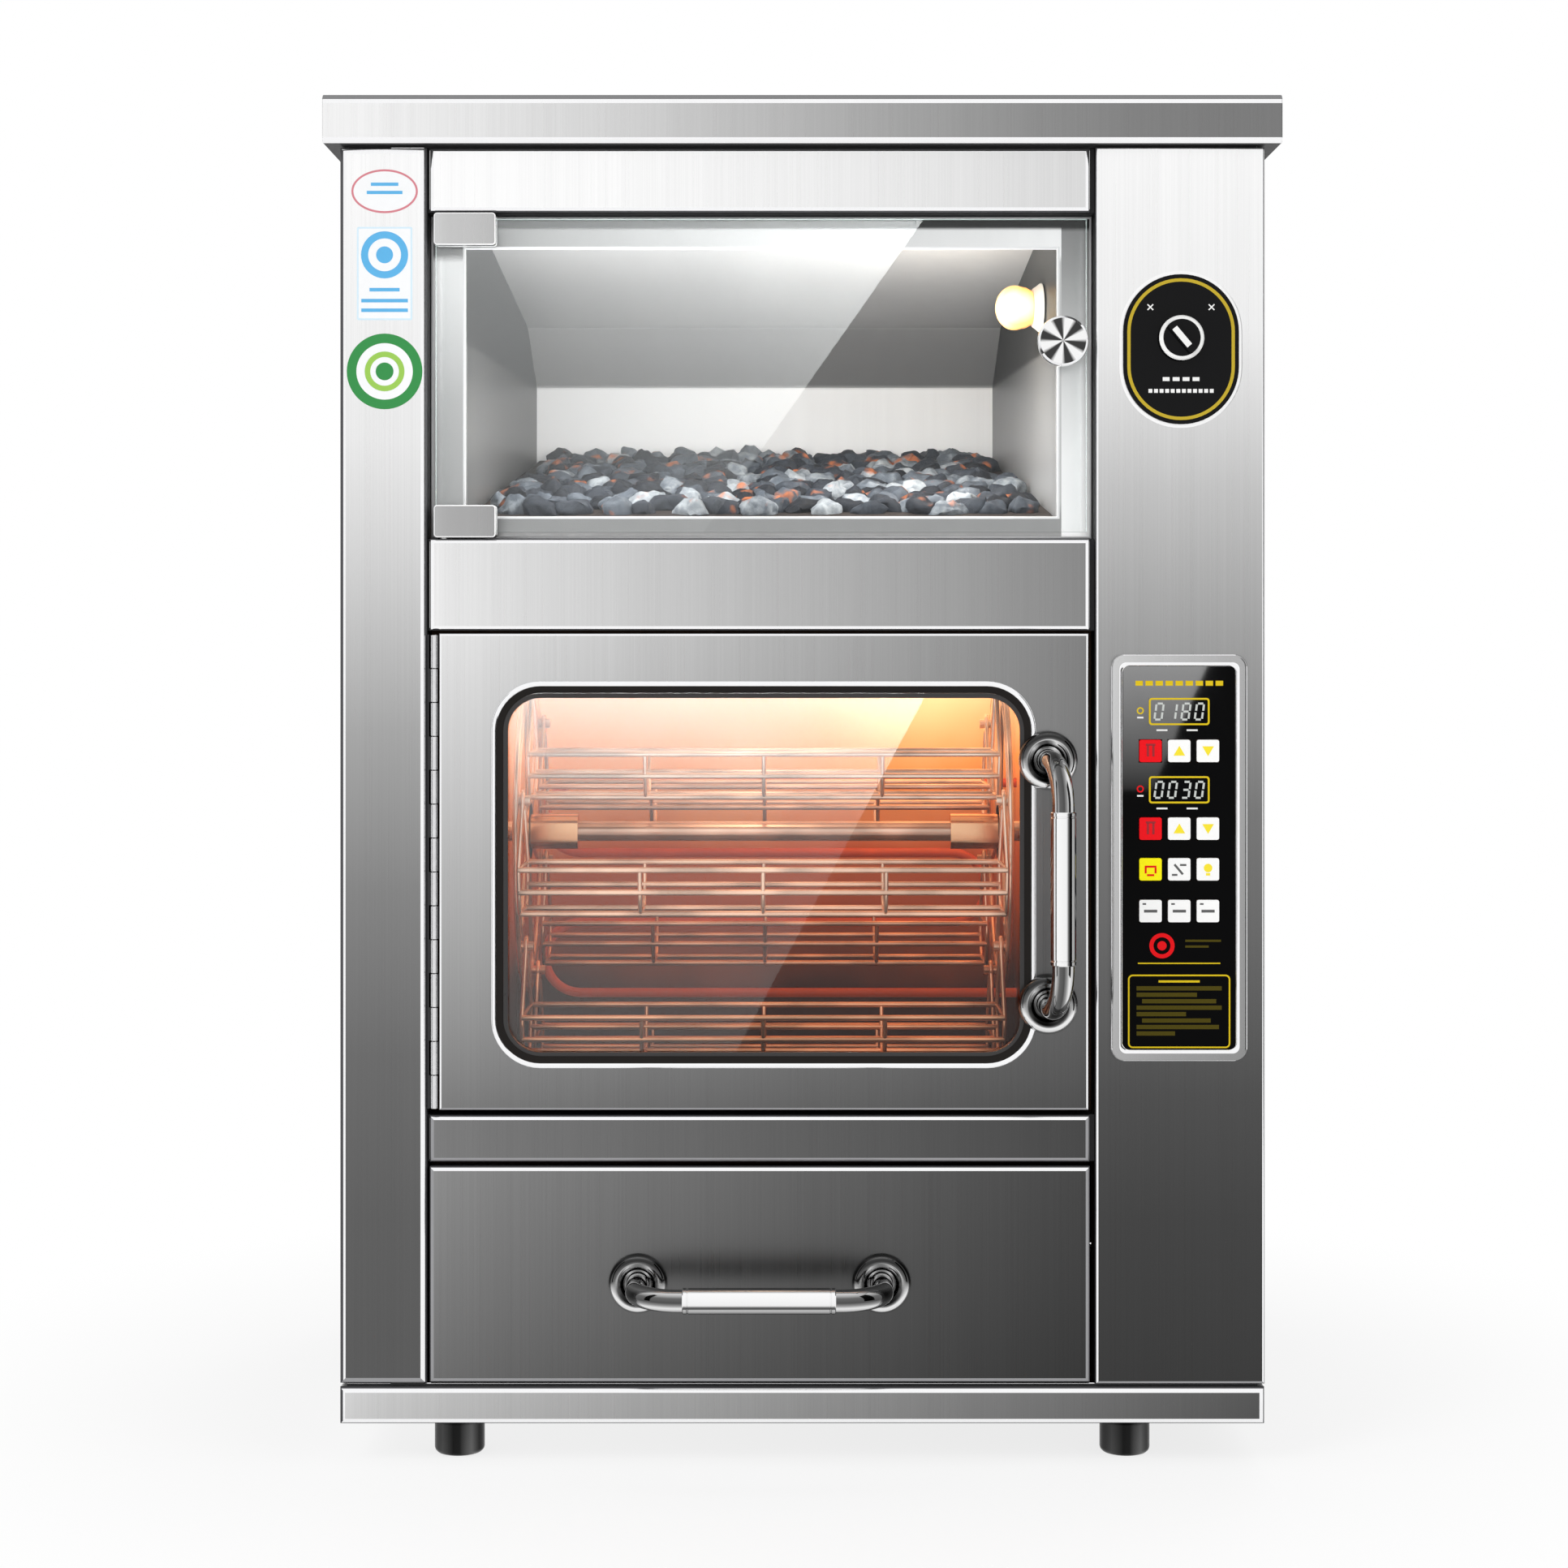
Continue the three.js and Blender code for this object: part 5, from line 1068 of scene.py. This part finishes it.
def rounded_loop(centre, width, height, radius, steps=10):
    """Points of a rounded rectangle in (x, z), anticlockwise."""
    cx, cz = centre
    spots = []
    for corner, (sx, sz) in enumerate(((1, -1), (1, 1), (-1, 1), (-1, -1))):
        for step in range(steps + 1):
            turn = radians(-90 + 90 * corner + 90 * step / steps)
            spots.append((cx + sx * (width / 2 - radius) + radius * cos(turn),
                          cz + sz * (height / 2 - radius) + radius * sin(turn)))
    return spots


def ring_band(bm, centre, width, height, radius, section, steps=12, least=0.2, material=0):
    """Sweeps a section of (inset from the outline, y) points round a rounded rectangle, whose
    corners never get tighter than the least radius."""
    loops = []
    for inset, y in section:
        outline = rounded_loop(centre, width - 2 * inset, height - 2 * inset,
                               max(radius - inset, least), steps)
        loops.append([bm.verts.new((x, y, z)) for x, z in outline])
    for inner, outer in zip(loops, loops[1:] + loops[:1]):
        for i in range(len(inner)):
            after = (i + 1) % len(inner)
            face = bm.faces.new((inner[i], inner[after], outer[after], outer[i]))
            face.material_index = material


trim_steel = finish("trim_steel", (0.94, 0.94, 0.95), 0.14, 1.0, mottle=0.03, grain=40)
trim_dark = finish("trim_dark", (0.016, 0.014, 0.013), 0.42, mottle=0.05, grain=40, shine=0.06)
bm = bmesh.new()
ring_band(bm, (-28.2, 431), 390.2, 275, 33, [(0, -0.35), (0, -1.8), (1.2, -1.2), (5.0, 0),
          (5.0, 1.9), (2.6, 1.9), (2.6, -0.35)], material=1)
ring_band(bm, (-28.2, 431), 397.4, 282.2, 36, [(0, -0.35), (0, -1.8), (0.7, -2.6), (1.7, -3.0),
          (2.7, -2.8), (3.6, -2.0), (3.6, -0.35)])
settle("window_trim_pressed", to_row(bm), [trim_steel, trim_dark], "oven_door",
       ["window_trim"])
# A near-black ring round the glass, painted shadow where the trim meets the window.
window_shadow_paint = finish("window_shadow_line", (0.02, 0.018, 0.018), 0.3, mottle=0.1)
bm = bmesh.new()
ring_band(bm, (-28, 430.5), 380.2, 265.2, 27, [(0, 0.4), (0, 2.1), (3.4, 2.1), (3.4, 0.4)])
settle("window_gasket", to_row(bm), [window_shadow_paint], "oven_door")
woven = Look("woven_seal")
across = add(woven.tree, "TexWave", {"Vector": woven.where(), "Scale": 220.0},
             bands_direction="DIAGONAL").outputs["Fac"]
woven.wear({"Base Color": woven.mix(across, (0.05, 0.045, 0.04, 1), (0.30, 0.27, 0.23, 1)),
            "Normal": woven.bump(across, 0.7, 0.0008), "Roughness": 0.9})
bm = bmesh.new()
ring_band(bm, (-29, 433), 448, 340, 27, [(0, 30.5), (0.7, 29), (2.4, 28.35), (6.6, 28.35),
          (8.3, 29), (9, 30.5), (8.3, 32), (6.6, 32.65), (2.4, 32.65), (0.7, 32)], 10)
settle("door_seal_woven", to_row(bm), [woven.made], "oven_door", ["door_seal"])

# The door hangs on a long piano hinge. Its knuckles are rolled round one pin, turn about on the
# cabinet's leaf and on the door.
hinge_steel = finish("hinge_steel", (0.72, 0.72, 0.73), 0.22, 1.0, mottle=0.1, grain=200)
knuckles, pitch, hinge_foot = 14, 346 / 14, 260
for name, first, body in (("fixed", 0, "cabinet"), ("door", 1, "oven_door")):
    half = (pitch - 0.5) / 2
    knuckle = bmesh.new()
    lathe(knuckle, [(1.6, -half), (2.45, -half), (2.72, -half + 0.3), (2.72, half - 0.3),
                    (2.45, half), (1.6, half), (1.6, -half)], (0, 0, 0), "z", 20)
    repeated(f"hinge_knuckles_{name}", knuckle,
             [(-268.5, 1.2, hinge_foot + (index + 0.5) * pitch)
              for index in range(first, knuckles, 2)], hinge_steel, body)
# The cabinet's leaf is painted in shade all over, so it reads as the gap beside the knuckles.
settle("hinge_leaf", cad_form("door_hinge"), [seam_shade], "cabinet",
       ["door_hinge"])


# Both handles are bent chromed tube between two domed rosettes, with a thicker satin sleeve in
# the middle to hold. Their chrome carries painted reflections in bands. The door's stands off on
# short feet and leans a little.
def bar_chrome(name, upright, stops):
    """Chrome with painted reflections: bands of grey along the bar stand for a dark room mirrored
    in it, from (slope, grey) stops. The slope is how far the surface faces up, or sideways on an
    upright bar, from -1 to 1."""
    look = copied(chrome, name)
    slope = look.facing("X" if upright else "Z")
    places, levels = zip(*((1000 * place, level) for place, level in stops))
    return look.wear({"Base Color": tone_ramp(look, slope, places, levels)})


def bar_handle(name, place, upright, lean, standoff, body, node):
    reach, rise, bend = 88.75, 60, 32

    def spot(along, out, side=0.0):
        """A place on the handle: along its span, out from the panel, and to the side."""
        x, z = place
        return (x + side, -out, z + along) if upright else (x + along, -out, z)

    turns = [radians(90 * step / 16) for step in range(17)]
    half = [(reach, standoff + 4, 0)] + [
        (reach - bend * (1 - cos(turn)), rise - bend * (1 - sin(turn)),
         lean * sin(turn)) for turn in turns]
    path = [spot(*step) for step in half]
    path += [spot(-along, out, side) for along, out, side in reversed(half)]
    side = -1 if upright else 1
    tube = [(-1, 90), (-0.75, 190), (-0.5, 238), (-0.25, 150), (0, 80), (0.4, 100), (0.75, 205),
            (1, 120)]
    grip = [(-1, 80), (-0.87, 90), (-0.72, 160), (-0.54, 200), (-0.43, 75), (-0.3, 100),
            (-0.15, 240), (0.7, 250), (0.87, 190), (1, 110)]
    rose = [(-1, 190), (-0.55, 225), (-0.2, 240), (-0.05, 180), (0.06, 95), (0.35, 52),
            (0.6, 60), (0.8, 115), (1, 70)]
    tube, grip = ([(side * slope, level) for slope, level in stops][::side]
                  for stops in (tube, grip))
    wires(name, [path], 16, bar_chrome(f"{name}_chrome", upright, tube), body, nodes=[node],
          sides=40)
    edge = [(7.9, -54.5), (8.7, -54.5), (9.25, -53.9), (9.25, -51.6), (8.8, -51.2),
            (8.8, -50.6), (9.25, -50.2)]
    edge += [(radius, -height) for radius, height in reversed(edge)]
    turned(f"{name}_sleeve", edge + edge[:1], spot(0, rise, lean), "z" if upright else "x", 48,
           bar_chrome(f"{name}_grip", upright, grip), body)
    bm = bmesh.new()
    dome = [(20.6, 0.3), (21.5, 1.0), (21.5, 2.4), (21.0, 4.4), (19.8, 6.3), (18.0, 7.6),
            (16.2, 8), (14.4, 7.7), (12.8, 6.6), (11.4, 4.8), (10.6, 2.9), (9.4, 2.2), (0, 2.2)]
    for end in (-reach, reach):
        lathe(bm, [(0, 0.3), (9, 0.3), (9, standoff + 0.3)]
              + [(radius, standoff + height) for radius, height in dome], spot(end, 0), "-y", 56)
    settle(f"{name}_rosettes", to_row(bm), [bar_chrome(f"{name}_rose", False, rose)], body)


bar_handle("door_bar", (179, 425.5), True, 6, 3, "oven_door", "door_handle")

# The drawer is a brushed front on an open folded box. Its bar handle is level and has no
# feet.
# The drawer's greys are painted light and shade, darker to the right on the front.
drawer_steel = brushed("drawer_steel", (-272, 210), (60, 218), (114, 146), (57, 72),
                       streak=0.26, bend=0.6)
sheet_piece("drawer_face", "drawer_front", "drawer", drawer_steel, soft=below)
tray_steel = brushed("tray_steel", (-242, 187), (68, 205), (120, 150), (110, 140))
sheet_piece("drawer_tray", "drawer_box", "drawer", tray_steel, front=0)
bar_handle("drawer_bar", (-31, 133), False, 0, 0, "drawer", "drawer_handle")


# The light switch is a moulded stadium plate with a fine yellow line inset, and a round knob
# with a white ring, a grip bar and a white pointer.
def flat_shape(bm, outline, face_y, back_y, material=0, hole=None):
    """A thin plate with the outline's (x, z) points, from its back to its face."""
    made, loops = [], []
    for points in (outline, hole) if hole else (outline,):
        front, back = ([bm.verts.new((x, y, z)) for x, z in points] for y in (face_y, back_y))
        loops.append((front, back))
    (front, back), (inner, base) = loops[0], loops[-1]
    pairs = loops + [(front, inner), (back, base)] if hole else loops
    if not hole:
        made += [bm.faces.new(front), bm.faces.new(back)]
    for near, far in pairs:
        for i in range(len(near)):
            after = (i + 1) % len(near)
            made.append(bm.faces.new((near[i], near[after], far[after], far[i])))
    for face in made:
        face.material_index = material


def oval(centre, width, height=None, sides=40):
    """Points of an oval or, without a height, of a disc."""
    u, v = width / 2, (height or width) / 2
    return [(centre[0] + u * cos(2 * pi * i / sides),
             centre[1] + v * sin(2 * pi * i / sides)) for i in range(sides)]


def disc(bm, centre, width, hole, face_y, back_y, material, sides=40):
    """A thin disc, or a ring where a width is given for its hole."""
    flat_shape(bm, oval(centre, width, None, sides), face_y, back_y, material,
               oval(centre, hole, None, sides) if hole else None)


def turned_box(centre, width, height, degrees=0):
    turn = radians(degrees)
    return [(centre[0] + u * cos(turn) - v * sin(turn),
             centre[1] + u * sin(turn) + v * cos(turn))
            for u, v in ((-width / 2, -height / 2), (width / 2, -height / 2),
                         (width / 2, height / 2), (-width / 2, height / 2))]


def bars(bm, rows, face_y, back_y, material):
    """Printed bars, from rows of (x, z, width, height) and degrees where one is turned."""
    for x, z, *size in rows:
        flat_shape(bm, turned_box((x, z), *size), face_y, back_y, material)


def frame_line(bm, centre, width, height, radius, line, steps, face_y, back_y, inside=None):
    """A printed line round a rounded rectangle."""
    hole_radius = radius - line if inside is None else inside
    flat_shape(bm, rounded_loop(centre, width, height, radius, steps), face_y, back_y, 0,
               rounded_loop(centre, width - 2 * line, height - 2 * line, hole_radius, steps))


gloss_black = finish("gloss_black", (0.003, 0.003, 0.0035), 0.03, mottle=0.1, grain=50, bump=0,
                     shine=0.12)
print_gold = finish("print_gold", (0.50, 0.36, 0.010), 0.5)
print_white = finish("print_white", (0.85, 0.85, 0.84), 0.4)
plate_halo = finish("plate_halo", (0.95, 0.95, 0.95), 0.3, 0.9)
plate, knob, ring_inside, ring_foot = (276, 814), (276, 822), 13.5, -6
bm = bmesh.new()
ring_band(bm, plate, 89.6, 114.5, 44.4, [(0, -0.05), (0, -0.5), (0.8, -0.9), (2.6, -0.9),
          (2.6, -0.05)], 16, material=1)
flat_shape(bm, rounded_loop(plate, 84.4, 109.3, 41.9, 16), -2.4, -0.4)
settle("switch_plate_moulded", to_row(bm), [gloss_black, plate_halo], "cabinet",
       ["switch_plate"])
bm = bmesh.new()
line_face, dash_face, print_back = -2.5, -2.48, -2.3
frame_line(bm, plate, 78.4, 103.3, 38.9, 2.4, 16, line_face, print_back)
for x in (253.6, 298.2):
    bars(bm, [(x, 844.6, 5.8, 0.9, 45)], dash_face, print_back, 1)
    bars(bm, [(x, 844.6, 5.8, 0.9, -45)], line_face, print_back, 1)
for z, count, size in ((792.2, 4, 5.0), (783.6, 12, 2.8)):
    bars(bm, [(plate[0] + (step - (count - 1) / 2) * size * 1.45, z, size, 2.8)
              for step in range(count)], dash_face, print_back, 1)
settle("switch_plate_lines", to_row(bm), [print_gold, print_white], "cabinet")
bm = bmesh.new()
lathe(bm, [(0, -14.7), (4, -14.7), (4, 0.3), (14, 2.5), (16.6, 2.6), (17, 3.1), (17, 4.6),
           (16.4, 6.4), (15.4, 7.5), (13.6, 7.9), (12.4, 7.6), (0, 7.4)],
      (knob[0], 0, knob[1]), "-y", 56)
paint(bm, 1, lambda normal, middle: middle.y < ring_foot
      and hypot(middle.x - knob[0], middle.z - knob[1]) > ring_inside)
bars(bm, [(*knob, 6.4, 25.4, 40)], -11.6, -7.2, 0)
bars(bm, [(275.6, 822.2, 4.4, 17, 40)], -11.75, -11.5, 1)
settle("switch_knob_turned", to_row(bm), [gloss_black, print_white], "light_knob",
       ["switch_knob"])

# The control panel: a rounded silver bezel round a glossy black fascia, with two framed
# readouts, printed marks, and twelve soft keys.
panel_x, panel_z, panel_width, panel_height = 274.5, 443.5, 99.5, 296.6
edge_line, face_end = 0.6, 6.4
# The bezel's grey is painted light and shade; its outer and inner edges get the painted highlight.
bezel_silver = brushed("bezel_silver", (224, 325), (295, 592), (176, 208), (144, 174),
                       0.24, 0.06)
bm = bmesh.new()
ring_band(bm, (panel_x, panel_z), panel_width, panel_height, 10, [
          (0, -0.3), (0, -3.4), (0.9, -4.7), (2.4, -5.3), (6.0, -5.3), (7.7, -4.7),
          (8.5, -3.6), (8.6, -0.3)], 12, 5)
paint(bm, 1, lambda normal, middle: not edge_line < min(
    panel_width / 2 - abs(middle.x - panel_x),
    panel_height / 2 - abs(middle.z - panel_z)) < face_end)
settle("panel_bezel", to_row(bm), [bezel_silver, fold_highlight], "cabinet",
       ["control_bezel"])
fascia_black = finish("fascia_black", (0.002, 0.002, 0.0022), 0.03, mottle=0.1, grain=50,
                      bump=0, shine=0.03)
reached.objects.link(settle("panel_fascia", cad_form("control_fascia"), [fascia_black],
                            "cabinet", ["control_fascia"]))
print_yellow = finish("print_yellow", (0.72, 0.52, 0.012), 0.6, shine=0.12)
print_red = finish("print_red", (0.80, 0.006, 0.010), 0.6, shine=0.12)
print_olive = finish("print_olive", (0.070, 0.055, 0.004), 0.7, shine=0.12)
digit_grey = finish("digit_grey", (0.50, 0.52, 0.50), 0.35, glow=0.15, shine=0.12)
fascia_y, readout_y = -3.0, -3.6
ring_face, print_foot = fascia_y - 0.14, fascia_y + 0.1


def seven_segments(bm, digit, centre, width, height, material):
    """A figure made of up to seven bars, leaning a little as on an LED readout."""
    lit = {"0": "abcdef", "1": "bc", "3": "abgcd", "8": "abcdefg"}
    places = {"a": (0, 1), "b": (0.5, 0.5), "c": (0.5, -0.5), "d": (0, -1), "e": (-0.5, -0.5),
              "f": (-0.5, 0.5), "g": (0, 0)}
    for key in lit[digit]:
        u, v = places[key]
        size = (1.5, height * 0.40, -7) if u else (width * 0.72, 1.5)
        bars(bm, [(centre[0] + u * width + v * 0.9, centre[1] + v * height / 2, *size)],
             readout_y - 0.12, readout_y + 0.1, material)


def marks(rows, material, proud=0.1):
    """Bars printed on the fascia."""
    bars(bm, rows, fascia_y - proud, print_foot, material)


bm = bmesh.new()
first_figure, figure_pitch, dot_x = 259.8, 9.8, 246.2
for z, figures, tint in ((550, "0180", 0), (493, "0030", 2)):
    frame_line(bm, (panel_x, z), 44.2, 19.8, 2.2, 1.3, 4, readout_y - 0.15, readout_y + 0.1, 1.2)
    for place, figure in enumerate(figures):
        seven_segments(bm, figure, (first_figure + place * figure_pitch, z), 5.2, 11.6, 3)
    disc(bm, (dot_x, z + 0.6), 5.2, 3.2, fascia_y - 0.12, print_foot, tint, 20)
    marks([(dot_x, z - 4.4, 4.6, 1.2)], 1, 0.12)
    marks([(262, z - 13.6, 8, 1.2), (284, z - 13.6, 8, 1.2)], 1)
marks([(245.4 + step * 7.3, 570.6, 5.4, 3.6) for step in range(9)], 0)
disc(bm, (262, 379.4), 18.4, 12.4, ring_face, print_foot, 2)
disc(bm, (262, 379.4), 6.8, 0, ring_face, print_foot, 2, 24)
marks([(292, 383.0, 26, 1.6), (287.5, 378.8, 17, 1.6)], 4)
marks([(panel_x, 366.6, 60, 0.9)], 0)
frame_line(bm, (panel_x, 331.6), 74.5, 53.5, 3.4, 1.1, 5, ring_face, print_foot, 2.4)
marks([(panel_x, 353.4, 30, 1.6)], 0)
marks([(243.5 + indent + width / 2, 348.4 - line * 4.7, width, 3.1)
       for line, (indent, width) in enumerate(((0, 62), (0, 44), (4, 54), (0, 62), (0, 36),
                                               (4, 50), (0, 60), (0, 28)))], 4, 0.08)
settle("panel_marks", to_row(bm), [print_yellow, print_white, print_red, digit_grey,
                                   print_olive], "cabinet")

# The keys are moulded caps, white, red and yellow, with rounded edges and a printed mark. Each
# is pressed straight in.
key_white = finish("key_white", (0.97, 0.97, 0.96), 0.38, mottle=0.03, grain=500, shine=0.15)
key_red = finish("key_red", (0.86, 0.004, 0.010), 0.5, mottle=0.05, grain=500, shine=0.15)
key_yellow = finish("key_yellow", (1.0, 0.90, 0.004), 0.45, mottle=0.04, grain=500, shine=0.15)
key_sun = finish("key_sun", (0.95, 0.78, 0.02), 0.5)
key_grey = finish("key_mark", (0.10, 0.10, 0.10), 0.45)
key_deep = finish("key_mark_red", (0.30, 0.004, 0.01), 0.45)


def key_piece(name, x, z, cap, mark, shapes):
    """A soft key cap with rounded edges, and its printed mark from shapes about its middle."""
    face_y = -4.2
    bm = bmesh.new()
    flat_shape(bm, rounded_loop((x, z), 16.4, 16.4, 1.6, 4), face_y, 4.0)
    rim = [edge for edge in bm.edges
           if all(abs(vert.co.y - face_y) < 0.01 for vert in edge.verts)]
    bmesh.ops.recalc_face_normals(bm, faces=bm.faces)
    bmesh.ops.bevel(bm, geom=rim, offset=0.5, segments=2, profile=0.5, affect="EDGES",
                    clamp_overlap=True)
    for outline in shapes:
        flat_shape(bm, [(x + u, z + v) for u, v in outline], face_y - 0.12, -4.1, 1)
    settle(f"{name}_cap", to_row(bm), [cap, mark], name, [name])


stop = [turned_box((-2, 0), 1.6, 8), turned_box((2, 0), 1.6, 8), turned_box((0, 4.6), 7, 1.4)]
up = [[(-4.2, -3.36), (4.2, -3.36), (0, 3.78)]]
down = [[(0, -3.78), (4.2, 3.36), (-4.2, 3.36)]]
roast = [turned_box((0, 2), 8.4, 1.4), turned_box((-3.6, -0.8), 1.4, 4.2),
         turned_box((3.6, -0.8), 1.4, 4.2), turned_box((0, -4.2), 5.2, 1.4)]
turn = [turned_box((-0.5, 0), 1.6, 9.5, 40), turned_box((2.8, 3.2), 4.6, 1.4),
        turned_box((-3.4, -4), 4, 1.4)]
bulb = [oval((0, 1), 6.2, None, 20), turned_box((0, -3.6), 3, 1.8)]
preset = [turned_box((0, 0), 9.6, 2.0), turned_box((-4.6, 5.2), 2.6, 1.2)]
red, yellow = (key_red, key_deep, "red_key"), (key_yellow, print_red, "yellow_key")
white, plain = (key_white, key_sun, "white_key"), (key_white, key_grey, "white_key")
first_key, key_pitch = 253.6, 20.9
for z, row in ((521.3, (("stop_upper", red, stop), ("up_upper", white, up),
                        ("down_upper", white, down))),
               (464.7, (("stop_lower", red, stop), ("up_lower", white, up),
                        ("down_lower", white, down))),
               (435.1, (("roast", yellow, roast), ("turn", plain, turn),
                        ("lamp", white, bulb))),
               (404.7, (("preset_a", plain, preset), ("preset_b", plain, preset),
                        ("preset_c", plain, preset)))):
    for column, (name, (cap, mark, slot), shapes) in enumerate(row):
        key_piece(f"key_{name}", first_key + key_pitch * column, z, cap, mark, shapes)

# Three plain labels are stuck on the left stile: an oval, an oblong and a disc. They bear rings
# and bars only.
label_x, label_back, ink_face, ink_back = -304.6, -0.02, -0.22, -0.1
bm = bmesh.new()
flat_shape(bm, oval((label_x, 929.4), 48.5, 32, 48), -0.16, label_back, 1,
           oval((label_x, 929.4), 45.5, 29, 48))
flat_shape(bm, oval((label_x, 929.4), 45.5, 29, 48), -0.14, label_back)
bars(bm, [(label_x, 934.5, 20, 2.4), (label_x, 928.5, 26, 2.4)], ink_face, ink_back, 2)
flat_shape(bm, rounded_loop((label_x, 869.4), 40.4, 68, 1.2, 3), -0.14, label_back, 4)
flat_shape(bm, rounded_loop((label_x, 869.4), 37.8, 65.4, 0.8, 3), -0.17, ink_back)
disc(bm, (label_x, 883), 34.4, 24, ink_face, ink_back, 2)
disc(bm, (label_x, 883), 12.4, 0, ink_face, ink_back, 2, 24)
bars(bm, [(label_x, z, width, 2.6) for z, width in ((857.6, 22), (849.6, 34), (842.6, 34))],
     ink_face, ink_back, 2)
disc(bm, (label_x, 798), 55.2, 41.2, -0.16, label_back, 3, 56)
disc(bm, (label_x, 798), 41.2, 0, -0.14, label_back, 0, 56)
disc(bm, (label_x, 798), 29, 21, ink_face, ink_back, 5)
disc(bm, (label_x, 798), 13, 0, ink_face, ink_back, 3, 28)
settle("stile_labels", to_row(bm), [
    finish("label_white", (0.86, 0.87, 0.88), 0.45, mottle=0.03),
    finish("label_rose", (0.62, 0.20, 0.24), 0.45), finish("label_blue", (0.10, 0.42, 0.74), 0.45),
    finish("label_green", (0.02, 0.24, 0.05), 0.4), finish("label_pale", (0.62, 0.78, 0.88), 0.45),
    finish("label_leaf", (0.30, 0.55, 0.08), 0.4)], "cabinet")

# The glare cards light only the two glass leaves and the fascia.
for card in glare_cards:
    card.light_linking.receiver_collection = reached
